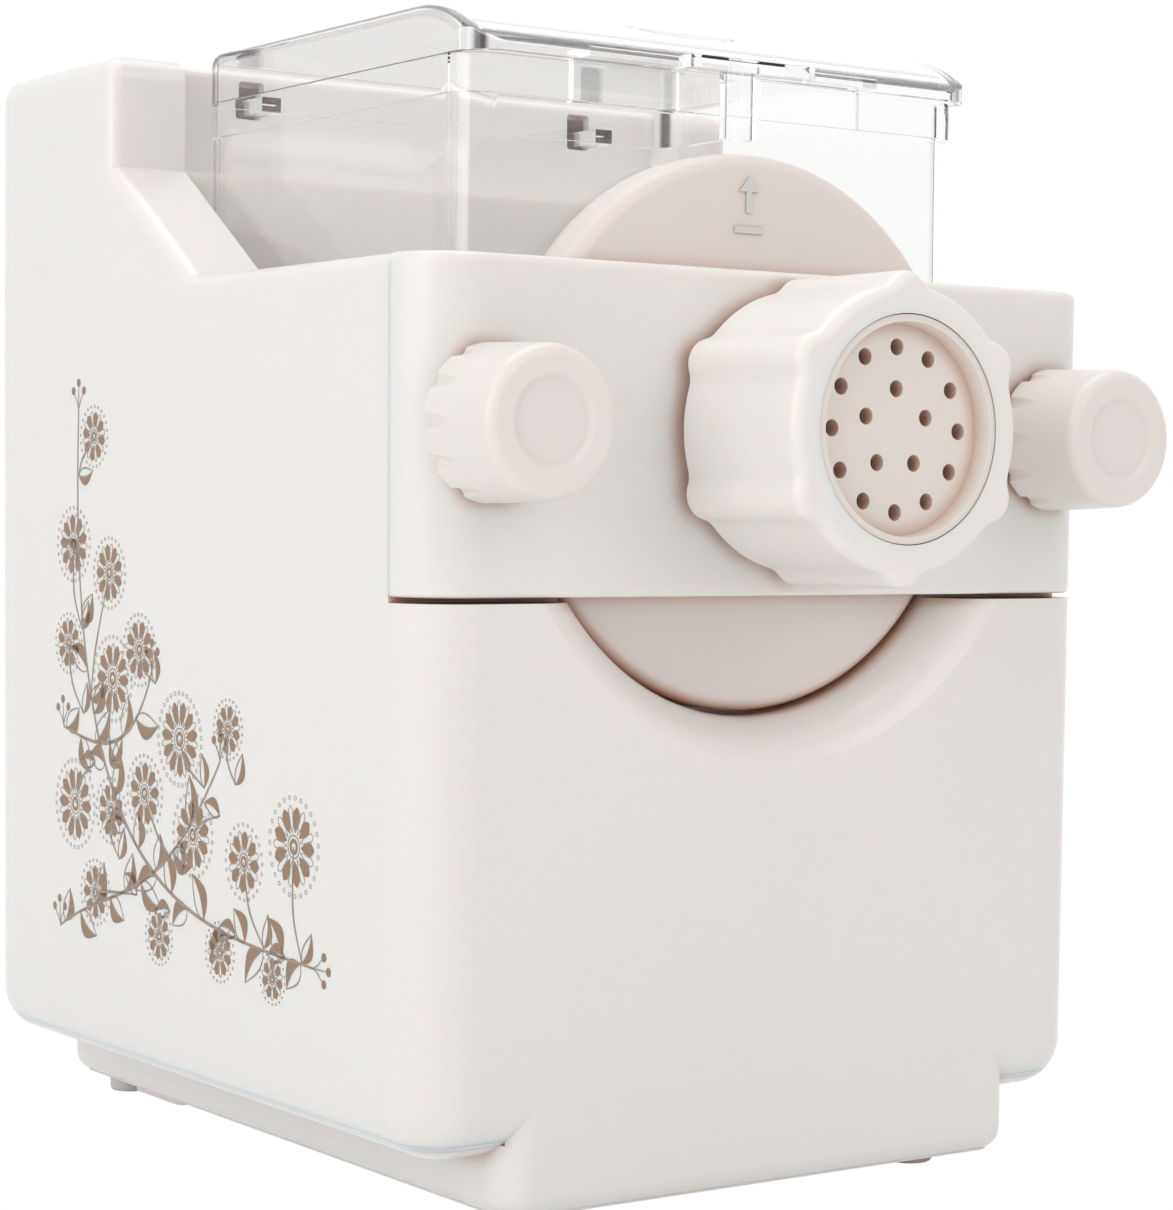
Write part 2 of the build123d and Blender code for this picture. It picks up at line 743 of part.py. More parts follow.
with BuildPart() as lid:
    add(lid_form(0))
    fillet(lid.edges().filter_by(on_lid_top), radius=lid_radius)
    add(lid_form(lid_wall), mode=Mode.SUBTRACT)
    # catch at the front, with the post that hangs in front of the cup
    with BuildSketch(Plane.XY.offset(rim_level)):
        with Locations((0, front + lid_front + (1 - catch_reach) / 2)):
            RectangleRounded(catch_width, catch_reach + 1, edge_radius)
    extrude(amount=wall)
    with BuildSketch(Plane.XY.offset(rim_level + wall - post_drop - wall)):
        with Locations((0, front + lid_front + post_thickness / 2)):
            RectangleRounded(post_width, post_thickness, 0.8)
    extrude(amount=post_drop + wall)
    # flanges inside the front edge, with skirts that centre the lid in the cup
    for side in (-1, 1):
        with BuildSketch(Plane.XY.offset(rim_level + flange_rise)):
            skirt_middle = front + (lid_front + 1 + skirt_depth + lid_wall) / 2
            with Locations((side * (skirt_inner + skirt_outer) / 2, skirt_middle)):
                Rectangle(skirt_outer - skirt_inner, skirt_depth + lid_wall - lid_front - 1)
        extrude(amount=lid_wall)
        with BuildSketch(Plane.XY.offset(rim_level + flange_rise)):
            with Locations((side * (skirt_inner + skirt_outer) / 2, front + skirt_depth + lid_wall / 2)):
                Rectangle(skirt_outer - skirt_inner, lid_wall)
        extrude(amount=-skirt_drop - flange_rise)
        # rear tabs that hook into the tower
        with BuildSketch(side_view(side * tab_spread - tab_width / 2)):
            with BuildLine():
                Polyline(
                    (pivot_depth, pivot_level + tab_thickness / 2),
                    (lid_rear - 1, pivot_level + tab_thickness / 2),
                    (lid_rear - 1, pivot_level - tab_thickness / 2),
                    (pivot_depth, pivot_level - tab_thickness / 2),
                )
                ThreePointArc(
                    (pivot_depth, pivot_level - tab_thickness / 2),
                    (pivot_depth + tab_thickness / 2, pivot_level),
                    (pivot_depth, pivot_level + tab_thickness / 2),
                )
            make_face()
        extrude(amount=tab_width)
    # shallow finger dish near the front
    with BuildSketch(Plane.XY.offset(lid_level - grip_depth)):
        with Locations((0, front + lid_front + lid_crown)):
            Ellipse(grip_length / 2, grip_breadth / 2)
    extrude(amount=grip_depth + 1, mode=Mode.SUBTRACT)

lid.part.label = "lid"
export_step(lid.part, "parts/lid.step")

# ---------------------------------------------------------------- gear train

wheel_level = axis_level - gear_module * (pinion_teeth + output_teeth) / 2
motor_level = wheel_level - gear_module * (pinion_teeth + wheel_teeth) / 2
gearbox_front = cradle_rear + pad_height
gearbox_inside = gearbox_front + wall
first_layer = gearbox_inside + gear_clearance
first_end = first_layer + gear_width
second_layer = first_end + layer_gap
second_end = second_layer + output_width
gearbox_rear = second_end + layer_gap
web = 4.0
rim = 4.5
lightening_holes = 5


def gear(teeth, start, end, level, phase):
    """Toothed rim of a spur gear with involute flanks, one tooth of it at the phase angle."""
    pitch = gear_module * teeth / 2
    base = pitch * cos(radians(pressure_angle))
    root = pitch - 1.25 * gear_module
    tip = pitch + gear_module
    half = (pi * gear_module - backlash) / (4 * pitch) + tan(radians(pressure_angle)) - radians(pressure_angle)
    flank = []
    for radius in sorted({root, max(root, base), pitch, tip}):
        swing = acos(min(1, base / radius))
        flank.append((radius, half - tan(swing) + swing))
    outline = []
    for tooth in range(teeth):
        middle = radians(phase) + 2 * pi * tooth / teeth
        outline += [(r * cos(middle - a), r * sin(middle - a)) for r, a in flank]
        outline += [(r * cos(middle + a), r * sin(middle + a)) for r, a in reversed(flank)]
    with BuildPart() as body:
        with BuildSketch(across(end, z=level)):
            with BuildLine():
                Polyline(*outline, close=True)
            make_face()
        extrude(amount=end - start)
    return body.part


def lightened(pitch, hub, start, end, level):
    """What is cut from a wheel: a pocket on each side of its web, and holes through the web."""
    inner = pitch - 1.25 * gear_module - rim
    side = (end - start - web) / 2
    with BuildPart() as pockets:
        add(tube(inner, hub, start, start + side, z=level))
        add(tube(inner, hub, end - side, end, z=level))
        with BuildSketch(across(end, z=level)):
            with PolarLocations((inner + hub) / 2, lightening_holes, start_angle=90):
                Circle((inner - hub) / 3)
        extrude(amount=end - start)
    return pockets.part


wheel_pitch = gear_module * wheel_teeth / 2
output_pitch = gear_module * output_teeth / 2
hub_radius = 9.0
output_hub = 13.0
end_play = 0.5

with BuildPart() as intermediate:
    add(gear(wheel_teeth, first_layer, first_end, wheel_level, 270 + 180 / wheel_teeth))
    add(lightened(wheel_pitch, hub_radius + 2, first_layer, first_end, wheel_level), mode=Mode.SUBTRACT)
    add(gear(pinion_teeth, first_end, second_end, wheel_level, 90))
    add(tube(hub_radius, 0, gearbox_inside + end_play, second_layer, z=wheel_level))
    add(tube(axle_radius + 2, 0, second_layer, gearbox_rear - end_play, z=wheel_level))
    add(tube(axle_radius + running, 0, gearbox_front, gearbox_rear + wall, z=wheel_level), mode=Mode.SUBTRACT)

intermediate.part.label = "intermediate_gear"
export_step(intermediate.part, "parts/intermediate_gear.step")

with BuildPart() as output_gear:
    add(gear(output_teeth, second_layer, second_end, axis_level, 270 + 180 / output_teeth))
    add(lightened(output_pitch, output_hub, second_layer, second_end, axis_level), mode=Mode.SUBTRACT)
    add(tube(output_hub, 0, second_layer - 1, gearbox_rear - end_play))
    add(tube(output_shaft_radius, 0, second_layer - wall, gearbox_rear), mode=Mode.SUBTRACT)

output_gear.part.label = "output_gear"
export_step(output_gear.part, "parts/output_gear.step")

# ---------------------------------------------------------------- shafts, axle and bearings

bush_wall = 2.5
bush_radius = output_shaft_radius + running + bush_wall
front_bush_end = gearbox_inside + 8.0
rear_bush_end = gearbox_rear + 6.0
drive_width = 9.0  # across the flats of the square end
drive_start = cup_rear - cup_wall - 0.5
drive_length = 12.0
screw_fit = 0.1

with BuildPart() as output_shaft:
    add(tube(output_shaft_radius, 0, drive_start, rear_bush_end - end_play))
    with BuildSketch(across(drive_start, z=axis_level)):
        Rectangle(drive_width, drive_width)
    extrude(amount=drive_length)
    chamfer(output_shaft.faces().sort_by(Axis.Y)[0].edges(), length=1.0)

output_shaft.part.label = "output_shaft"
export_step(output_shaft.part, "parts/output_shaft.step")

with BuildPart() as bearings:
    add(tube(bush_radius, output_shaft_radius + running, gearbox_front, front_bush_end))
    add(tube(bush_radius, output_shaft_radius + running, gearbox_rear, rear_bush_end))

bearings.part.label = "output_bearings"
export_step(bearings.part, "parts/output_bearings.step")

axle = tube(axle_radius, 0, gearbox_front, gearbox_rear + wall, z=wheel_level)
axle.label = "intermediate_axle"
export_step(axle, "parts/intermediate_axle.step")

# ---------------------------------------------------------------- gearbox housing and cover

case_half_width = output_pitch + gear_module + 1.5 + wall
case_top = axis_level + case_half_width
case_bottom = motor_level - 16.0
case_corner = 9.0
case_middle = (case_top + case_bottom) / 2
case_height = case_top - case_bottom
case_boss_x = case_half_width - 9.0
case_boss_side = 4.0  # middle pair stands further out
case_boss_rows = (case_top - 9.0, (axis_level + wheel_level) / 2, case_bottom + 9.0)
pad_rows = ((output_pitch - 11.5, axis_level + 20.0), (output_pitch - 16.5, wheel_level + 6.0))
motor_square = 66.0
bolt_spread = 27.0


def case_screws(radius):
    """Circles at the places of the gearbox screws."""
    with BuildSketch() as holes:
        for side in (-1, 1):
            for row, level in enumerate(case_boss_rows):
                with Locations((side * (case_boss_x + case_boss_side * (row == 1)), level)):
                    Circle(radius)
    return holes.sketch


def motor_bolt_circles(radius):
    """Circles at the places of the motor's through bolts."""
    with BuildSketch() as holes:
        with Locations((0, motor_level)):
            with GridLocations(2 * bolt_spread, 2 * bolt_spread, 2, 2):
                Circle(radius)
    return holes.sketch


with BuildPart() as gearbox:
    with BuildSketch(across(gearbox_rear)):
        with Locations((0, case_middle)):
            RectangleRounded(2 * case_half_width, case_height, case_corner)
    extrude(amount=gearbox_rear - gearbox_front)
    with BuildSketch(across(gearbox_rear)):
        with Locations((0, case_middle)):
            RectangleRounded(2 * (case_half_width - wall), case_height - 2 * wall, case_corner - wall)
    extrude(amount=gearbox_rear - gearbox_inside, mode=Mode.SUBTRACT)
    with BuildSketch(across(gearbox_rear)):
        add(case_screws(boss_radius))
    extrude(amount=gearbox_rear - gearbox_inside)
    add(tube(bush_radius + bush_wall - 1, 0, gearbox_front, front_bush_end))
    # pads that stand against the cradle
    for place, level in pad_rows:
        for side in (-1, 1):
            with BuildSketch(across(gearbox_front, x=side * place, z=level)):
                Circle(boss_radius + 1.5)
            extrude(amount=gearbox_front - cradle_rear)
    add(tube(bush_radius + running, 0, cradle_rear, front_bush_end + 1), mode=Mode.SUBTRACT)
    add(tube(axle_radius + running, 0, cradle_rear, first_layer, z=wheel_level), mode=Mode.SUBTRACT)
    add(tube(motor_shaft_radius + 3, 0, cradle_rear, first_layer, z=motor_level), mode=Mode.SUBTRACT)
    with BuildSketch(across(gearbox_rear)):
        add(case_screws(screw_radius + running))
    extrude(amount=20, mode=Mode.SUBTRACT)
    with BuildSketch(across(gearbox_inside)):
        add(motor_bolt_circles(screw_radius + running))
    extrude(amount=2 * wall, mode=Mode.SUBTRACT)

gearbox.part.label = "gearbox_housing"
export_step(gearbox.part, "parts/gearbox_housing.step")

with BuildPart() as gearbox_cover:
    with BuildSketch(across(gearbox_rear + wall)):
        with Locations((0, case_middle)):
            RectangleRounded(2 * case_half_width, case_height, case_corner)
    extrude(amount=wall)
    add(tube(bush_radius + bush_wall, 0, gearbox_rear, rear_bush_end + 1.5))
    add(tube(bush_radius + running, 0, gearbox_rear - 1, rear_bush_end), mode=Mode.SUBTRACT)
    add(tube(axle_radius + running, 0, gearbox_rear - 1, gearbox_rear + 2 * wall, z=wheel_level), mode=Mode.SUBTRACT)
    with BuildSketch(across(gearbox_rear + 2 * wall)):
        add(case_screws(screw_radius + running))
    extrude(amount=3 * wall, mode=Mode.SUBTRACT)

gearbox_cover.part.label = "gearbox_cover"
export_step(gearbox_cover.part, "parts/gearbox_cover.step")

screw_head_radius = 3.1
screw_head = 2.0

with BuildPart() as gearbox_screws:
    with BuildSketch(across(gearbox_rear + wall + screw_head)):
        add(case_screws(screw_head_radius))
    extrude(amount=screw_head)
    with BuildSketch(across(gearbox_rear + wall)):
        add(case_screws(screw_radius))
    extrude(amount=18)

gearbox_screws.part.label = "gearbox_screws"
export_step(gearbox_screws.part, "parts/gearbox_screws.step")

# ---------------------------------------------------------------- motor

stator_length = 30.0
bell_length = 8.0
stator_rear = gearbox_front - bell_length
stator_front = stator_rear - stator_length
bell_front = stator_front - bell_length
stator_bore = 19.0
slot_circle = 23.5
slot_radius = 3.0
stator_slots = 12
coil_inner = 20.5
coil_outer = 27.0
coil_reach = 5.5
motor_bush_radius = 7.0
fan_gap = 7.0
fan_width = 10.0
fan_radius = 27.0
fan_blades = 9

with BuildPart() as stator:
    with BuildSketch(across(stator_rear, z=motor_level)):
        RectangleRounded(motor_square, motor_square, edge_radius)
        Circle(stator_bore, mode=Mode.SUBTRACT)
        with PolarLocations(slot_circle, stator_slots):
            Circle(slot_radius, mode=Mode.SUBTRACT)
        with GridLocations(2 * bolt_spread, 2 * bolt_spread, 2, 2):
            Circle(screw_radius + running, mode=Mode.SUBTRACT)
    extrude(amount=stator_length)

stator.part.label = "motor_stator"
export_step(stator.part, "parts/motor_stator.step")

with BuildPart() as windings:
    add(tube(coil_outer, coil_inner, stator_front - coil_reach, stator_front, z=motor_level))
    add(tube(coil_outer, coil_inner, stator_rear, stator_rear + coil_reach, z=motor_level))
    with BuildSketch(across(stator_rear + 1, z=motor_level)):
        with PolarLocations(slot_circle, stator_slots):
            Circle(slot_radius - fit)
    extrude(amount=stator_length + 2)
    coil_ends = windings.edges().filter_by(GeomType.CIRCLE).filter_by(lambda e: abs(e.radius - coil_outer) < fit)
    fillet(coil_ends.sort_by(Axis.Y)[0], radius=edge_radius)
    fillet(coil_ends.sort_by(Axis.Y)[-1], radius=edge_radius)

windings.part.label = "motor_windings"
export_step(windings.part, "parts/motor_windings.step")

with BuildPart() as bells:
    for start, inside in ((bell_front, bell_front + 2.5), (stator_rear, stator_rear)):
        with BuildSketch(across(start + bell_length, z=motor_level)):
            RectangleRounded(motor_square, motor_square, edge_radius)
        extrude(amount=bell_length)
        add(tube(coil_outer + 1, 0, inside, inside + bell_length - 2.5, z=motor_level), mode=Mode.SUBTRACT)
        add(tube(motor_bush_radius + running, 0, start, start + bell_length, z=motor_level), mode=Mode.SUBTRACT)
    with BuildSketch(across(gearbox_front)):
        add(motor_bolt_circles(screw_radius + running))
    extrude(amount=gearbox_front - bell_front, mode=Mode.SUBTRACT)

bells.part.label = "motor_end_bells"
export_step(bells.part, "parts/motor_end_bells.step")

with BuildPart() as motor_bushes:
    for start in (bell_front, gearbox_front - 2.5):
        add(tube(motor_bush_radius, motor_shaft_radius + running, start, start + 2.5, z=motor_level))

motor_bushes.part.label = "motor_bushes"
export_step(motor_bushes.part, "parts/motor_bushes.step")

with BuildPart() as motor_bolts:
    with BuildSketch(across(bell_front)):
        add(motor_bolt_circles(screw_head_radius))
    extrude(amount=screw_head)
    with BuildSketch(across(gearbox_inside)):
        add(motor_bolt_circles(screw_radius))
    extrude(amount=gearbox_inside - bell_front)

motor_bolts.part.label = "motor_bolts"
export_step(motor_bolts.part, "parts/motor_bolts.step")

fan_rear = bell_front - fan_gap

with BuildPart() as rotor:
    add(tube(stator_bore - 0.5, 0, stator_front, stator_rear, z=motor_level))
    add(tube(motor_shaft_radius, 0, fan_rear - fan_width - 1, first_end + 1, z=motor_level))

rotor.part.label = "motor_rotor"
export_step(rotor.part, "parts/motor_rotor.step")

with BuildPart() as fan:
    add(tube(hub_radius, 0, fan_rear - fan_width, fan_rear, z=motor_level))
    add(tube(fan_radius, 0, fan_rear - 2, fan_rear, z=motor_level))
    with BuildSketch(across(fan_rear - 2, z=motor_level)):
        with PolarLocations((hub_radius + fan_radius) / 2 - 1, fan_blades):
            Rectangle(fan_radius - hub_radius + 2, 2, rotation=25)
    extrude(amount=fan_width - 2)
    add(tube(motor_shaft_radius, 0, fan_rear - fan_width, fan_rear, z=motor_level), mode=Mode.SUBTRACT)

fan.part.label = "motor_fan"
export_step(fan.part, "parts/motor_fan.step")

with BuildPart() as pinion:
    add(gear(pinion_teeth, first_layer, first_end, motor_level, 90))
    add(tube(motor_shaft_radius, 0, first_layer, first_end, z=motor_level), mode=Mode.SUBTRACT)

pinion.part.label = "motor_pinion"
export_step(pinion.part, "parts/motor_pinion.step")

# ---------------------------------------------------------------- mixing screw

screw_hub_radius = 11.0
screw_hub_length = 19.0
screw_core_radius = 8.0
paddle_reach = trough_radius - cup_wall - 4.0
paddle_width = 19.0
paddle_thickness = 4.5
paddle_count = 4
first_paddle = drive_start - screw_hub_length - 3.0
last_paddle = cup_front + cup_wall + 17.5
paddle_pitch = (first_paddle - last_paddle) / (paddle_count - 1)
paddle_lean = 35.0
auger_core = 9.0
auger_radius = barrel_bore - 0.6
auger_rear = entry_radius
auger_front = 1 - barrel_reach
flight_pitch = 19.0
flight_thickness = 3.2

with BuildPart() as mixing_screw:
    add(tube(screw_hub_radius, 0, drive_start - screw_hub_length, drive_start))
    add(tube(screw_core_radius, 0, auger_rear, drive_start - screw_hub_length))
    add(tube(auger_core, 0, auger_front, auger_rear + 8))
    # pitched paddles, a quarter turn and one step apart
    for number in range(paddle_count):
        turn = radians(45 + 90 * number)
        lean = radians(paddle_lean)
        paddle = Plane(
            origin=(0, front + first_paddle - number * paddle_pitch, axis_level),
            x_dir=(-sin(turn) * sin(lean), cos(lean), cos(turn) * sin(lean)),
            z_dir=(cos(turn), 0, sin(turn)),
        )
        with BuildSketch(paddle):
            SlotOverall(paddle_width, paddle_thickness)
        extrude(amount=paddle_reach, taper=0.8)
    # one flight that winds along the barrel
    with BuildLine() as winding:
        Helix(
            pitch=flight_pitch,
            height=auger_rear - auger_front - flight_thickness,
            radius=(auger_core + auger_radius) / 2,
            center=(0, front + auger_rear - flight_thickness / 2, axis_level),
            direction=(0, -1, 0),
        )
    start_point = winding.line @ 0
    outward = Vector(start_point.X, 0, start_point.Z - axis_level)
    with BuildSketch(Plane(origin=start_point, x_dir=outward, z_dir=winding.line % 0)):
        Rectangle(auger_radius - auger_core + 1, flight_thickness)
    sweep(path=winding.line, is_frenet=True)
    # square socket on the drive
    with BuildSketch(across(drive_start, z=axis_level)):
        Rectangle(drive_width + 2 * screw_fit, drive_width + 2 * screw_fit)
    extrude(amount=drive_length + 0.5, mode=Mode.SUBTRACT)

mixing_screw.part.label = "mixing_screw"
export_step(mixing_screw.part, "parts/mixing_screw.step")

# ---------------------------------------------------------------- base cover, its screws and the feet

cover_margin = 0.3
counterbore = 1.4
stem_radius = 2.5
front_foot_x = base_width / 2 - 18.0
rear_foot_x = base_width / 2 - 10.0
front_foot_length = 36.0
front_foot_width = 12.0
front_foot_depth = 32.0  # middle, behind the plate's front
rear_foot_depth = body_depth - 22.5
rear_foot_radius = 5.5
skid_length = 28.0
skid_width = 6.0
skid_height = 2.6
saddle_width = 50.0
base_vents = 9
base_vent_pitch = 7.0
foot_places = (
    (-front_foot_x, front + front_foot_depth),
    (front_foot_x, front + front_foot_depth),
    (-rear_foot_x, front + rear_foot_depth),
    (rear_foot_x, front + rear_foot_depth),
)


def base_screw_circles(radius):
    """Circles at the places of the base screws."""
    with BuildSketch() as holes:
        with Locations((0, base_middle)):
            with GridLocations(2 * base_screw_x, base_screw_length, 2, 2):
                Circle(radius)
    return holes.sketch


with BuildPart() as base_cover:
    with BuildSketch(Plane.XY.offset(base_level)):
        with Locations((0, base_middle)):
            RectangleRounded(
                base_inner_width - 2 * cover_margin,
                base_length - 2 * wall - 2 * cover_margin,
                base_corner - wall,
            )
    extrude(amount=cover_plate)
    # saddle under the motor
    for depth in (stator_front + 4, stator_rear - 4):
        saddle_middle = (cover_plate + base_level + motor_level - motor_square / 2) / 2
        with BuildSketch(across(depth + wall / 2, z=saddle_middle)):
            Rectangle(saddle_width, motor_level - motor_square / 2 - base_level - cover_plate)
        extrude(amount=wall)
    # skids in front of the rear feet
    for side in (-1, 1):
        with BuildSketch(Plane.XY.offset(base_level)):
            skid_depth = rear_foot_depth - rear_foot_radius - skid_length / 2 - 2
            with Locations((side * rear_foot_x, front + skid_depth)):
                SlotOverall(skid_length, skid_width, rotation=90)
        extrude(amount=-skid_height)
    with BuildSketch(Plane.XY.offset(base_level)):
        with Locations(*foot_places):
            Circle(stem_radius + running)
        with Locations((0, base_middle)):
            with GridLocations(base_vent_pitch, 0, base_vents, 1):
                SlotOverall(vent_length, vent_width, rotation=90)
    extrude(amount=cover_plate, mode=Mode.SUBTRACT)
    with BuildSketch(Plane.XY.offset(base_level)):
        add(base_screw_circles(screw_radius + running))
    extrude(amount=cover_plate, mode=Mode.SUBTRACT)
    with BuildSketch(Plane.XY.offset(base_level)):
        add(base_screw_circles(screw_head_radius + fit))
    extrude(amount=counterbore, mode=Mode.SUBTRACT)

base_cover.part.label = "base_cover"
export_step(base_cover.part, "parts/base_cover.step")

with BuildPart() as base_screws:
    with BuildSketch(Plane.XY.offset(base_level + counterbore)):
        add(base_screw_circles(screw_head_radius))
    extrude(amount=fit - counterbore)
    with BuildSketch(Plane.XY.offset(base_level + counterbore)):
        add(base_screw_circles(screw_radius))
    extrude(amount=base_height - counterbore)

base_screws.part.label = "base_screws"
export_step(base_screws.part, "parts/base_screws.step")

with BuildPart() as feet:
    with BuildSketch():
        with Locations(*foot_places[:2]):
            SlotOverall(front_foot_length, front_foot_width, rotation=90)
        with Locations(*foot_places[2:]):
            Circle(rear_foot_radius)
    extrude(amount=foot_height)
    fillet(feet.faces().sort_by(Axis.Z)[:4].edges(), radius=edge_radius / 2)
    with BuildSketch(Plane.XY.offset(foot_height)):
        with Locations(*foot_places):
            Circle(stem_radius)
    extrude(amount=cover_plate + 1)

feet.part.label = "feet"
export_step(feet.part, "parts/feet.step")

# ---------------------------------------------------------------- control panel and its buttons

button_radius = 7.0
button_flange_radius = 8.4
button_flange = 1.6
button_proud = 0.9
button_stem_radius = 2.5
button_spread = 23.0
button_count = 4
button_row_x = -12.0  # middle of the row
lens_x = 48.0
lens_radius = 3.0
flange_top = tower_level - panel_thickness
board_top = tower_level - wall - board_drop
board_thickness = 1.6
board_length = panel_width + 4.0
board_breadth = 30.0
tact_size = 8.0
tact_height = 3.8
stem_gap = 1.4

with BuildPart() as panel:
    with BuildSketch(Plane.XY.offset(tower_level)):
        with Locations((0, panel_y)):
            RectangleRounded(panel_width - 2 * cover_margin, panel_length - 2 * cover_margin, corner_radius / 2)
        with Locations((button_row_x, panel_y)):
            with GridLocations(button_spread, 0, button_count, 1):
                Circle(button_radius + fit, mode=Mode.SUBTRACT)
        with Locations((lens_x, panel_y)):
            Circle(lens_radius + running, mode=Mode.SUBTRACT)
    extrude(amount=-panel_thickness)

panel.part.label = "control_panel"
export_step(panel.part, "parts/control_panel.step")

for number in range(button_count):
    button_x = button_row_x + (number - (button_count - 1) / 2) * button_spread
    with BuildPart() as button:
        with BuildSketch(Plane.XY.offset(flange_top)):
            with Locations((button_x, panel_y)):
                Circle(button_radius)
        extrude(amount=panel_thickness + button_proud)
        fillet(button.faces().sort_by(Axis.Z)[-1].edges(), radius=button_proud * 0.7)
        with BuildSketch(Plane.XY.offset(flange_top)):
            with Locations((button_x, panel_y)):
                Circle(button_flange_radius)
        extrude(amount=-button_flange)
        with BuildSketch(Plane.XY.offset(flange_top)):
            with Locations((button_x, panel_y)):
                Circle(button_stem_radius)
        extrude(amount=board_top + tact_height + stem_gap - flange_top)
    button.part.label = "push_button_" + str(number + 1)
    export_step(button.part, "parts/push_button_" + str(number + 1) + ".step")

with BuildPart() as lens:
    with BuildSketch(Plane.XY.offset(tower_level + fit)):
        with Locations((lens_x, panel_y)):
            Circle(lens_radius)
    extrude(amount=board_top - tower_level - fit)

lens.part.label = "indicator_lens"
export_step(lens.part, "parts/indicator_lens.step")

with BuildPart() as control_board:
    with BuildSketch(Plane.XY.offset(board_top)):
        with Locations((0, panel_y)):
            Rectangle(board_length, board_breadth)
    extrude(amount=-board_thickness)

control_board.part.label = "control_board"
export_step(control_board.part, "parts/control_board.step")

with BuildPart() as tact_switches:
    with BuildSketch(Plane.XY.offset(board_top)):
        with Locations((button_row_x, panel_y)):
            with GridLocations(button_spread, 0, button_count, 1):
                Rectangle(tact_size, tact_size)
    extrude(amount=tact_height - 0.8)
    with BuildSketch(Plane.XY.offset(board_top)):
        with Locations((button_row_x, panel_y)):
            with GridLocations(button_spread, 0, button_count, 1):
                Circle(button_stem_radius - 0.5)
    extrude(amount=tact_height)

tact_switches.part.label = "tact_switches"
export_step(tact_switches.part, "parts/tact_switches.step")

# ---------------------------------------------------------------- lid switch, power board and cord inlet

switch_width = 7.0
switch_length = 10.0
switch_bottom = 264.0
switch_gap = 3.0  # behind the lid's rear tab

with BuildPart() as lid_switch:
    with BuildSketch(Plane.XY.offset(switch_bottom)):
        with Locations((tab_spread, front + pivot_depth + tab_thickness / 2 + switch_gap + switch_length / 2)):
            RectangleRounded(switch_width, switch_length, 0.8)
    extrude(amount=tower_level - wall - switch_bottom)
    with BuildSketch(across(pivot_depth + tab_thickness / 2 + switch_gap + 1, x=tab_spread, z=pivot_level)):
        Rectangle(3, 2)
    extrude(amount=1 + switch_gap - fit)

lid_switch.part.label = "lid_switch"
export_step(lid_switch.part, "parts/lid_switch.step")

with BuildPart() as power_board:
    with BuildSketch(across(board_rear, z=board_level)):
        Rectangle(board_width, board_height)
    extrude(amount=board_thickness)

power_board.part.label = "power_board"
export_step(power_board.part, "parts/power_board.step")

# relay, transformer, heat sink and connectors on the board's rear side
part_blocks = (
    (-16.0, 20.0, 19.0, 15.0, 11.0),
    (14.0, 16.0, 28.0, 24.0, 12.5),
    (-16.0, -12.0, 10.0, 28.0, 12.0),
    (12.0, -26.0, 24.0, 8.0, 8.0),
)

with BuildPart() as board_parts:
    for x, height, width, length, tall in part_blocks:
        with BuildSketch(across(board_rear + tall, x=x, z=board_level + height)):
            Rectangle(width, length)
        extrude(amount=tall)
    with BuildSketch(across(board_rear + 10, x=22, z=board_level - 8)):
        Circle(6)
    extrude(amount=10)

board_parts.part.label = "board_parts"
export_step(board_parts.part, "parts/board_parts.step")

capacitor_radius = 13.0
capacitor_height = 48.0
capacitor_x = 22.0 - base_width / 2

with BuildPart() as capacitor:
    with BuildSketch(Plane.XY.offset(base_level + cover_plate)):
        with Locations((capacitor_x, front + stator_front)):
            Circle(capacitor_radius)
    extrude(amount=capacitor_height)
    fillet(capacitor.faces().sort_by(Axis.Z)[-1].edges(), radius=edge_radius)

capacitor.part.label = "run_capacitor"
export_step(capacitor.part, "parts/run_capacitor.step")

bush_flange = 9.0
bush_flange_thickness = 1.4
cord_hole = 3.6
wall_slope = (inlet_level - deck_level) * tan(radians(draft_angle))
inlet_face = body_depth + wall_slope + 0.1
inlet_inside = body_depth - wall - body_draft

cord_bush = turned(
    [
        (cord_hole, inlet_inside - 3.5),
        (bush_flange, inlet_inside - 3.5),
        (bush_flange, inlet_inside - 0.1),
        (inlet_radius - running, inlet_inside - 0.1),
        (inlet_radius - running, inlet_face),
        (bush_flange, inlet_face),
        (bush_flange, inlet_face + bush_flange_thickness - 0.5),
        (bush_flange - 0.5, inlet_face + bush_flange_thickness),
        (cord_hole, inlet_face + bush_flange_thickness),
    ],
    x=-inlet_x,
    z=inlet_level,
)
cord_bush.label = "cord_bush"
export_step(cord_bush, "parts/cord_bush.step")
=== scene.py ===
"""Electric pasta maker, dressed: a tall moulded housing with a clear mixing cup and lid, a clamped front
plate, and the ring nut and die that the dough leaves by."""

import bpy
from math import atan2, cos, pi, radians, sin, tan
from mathutils import Matrix, Vector


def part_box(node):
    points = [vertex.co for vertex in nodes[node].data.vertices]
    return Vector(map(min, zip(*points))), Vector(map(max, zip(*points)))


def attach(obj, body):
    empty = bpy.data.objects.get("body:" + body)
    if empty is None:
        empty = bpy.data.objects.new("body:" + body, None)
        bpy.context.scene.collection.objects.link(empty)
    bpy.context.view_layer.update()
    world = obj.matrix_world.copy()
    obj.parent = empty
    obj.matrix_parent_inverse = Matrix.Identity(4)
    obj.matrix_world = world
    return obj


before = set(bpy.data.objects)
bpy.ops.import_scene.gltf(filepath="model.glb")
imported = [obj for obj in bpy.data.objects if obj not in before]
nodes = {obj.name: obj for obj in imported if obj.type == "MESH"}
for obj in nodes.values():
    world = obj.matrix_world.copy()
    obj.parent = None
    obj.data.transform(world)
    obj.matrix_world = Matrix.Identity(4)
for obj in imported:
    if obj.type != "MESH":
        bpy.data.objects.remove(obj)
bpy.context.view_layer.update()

# ------------------------------------------------------------------ camera
# A long lens a little above the middle of the machine, off to its left, so that the front and the
# printed side both show.

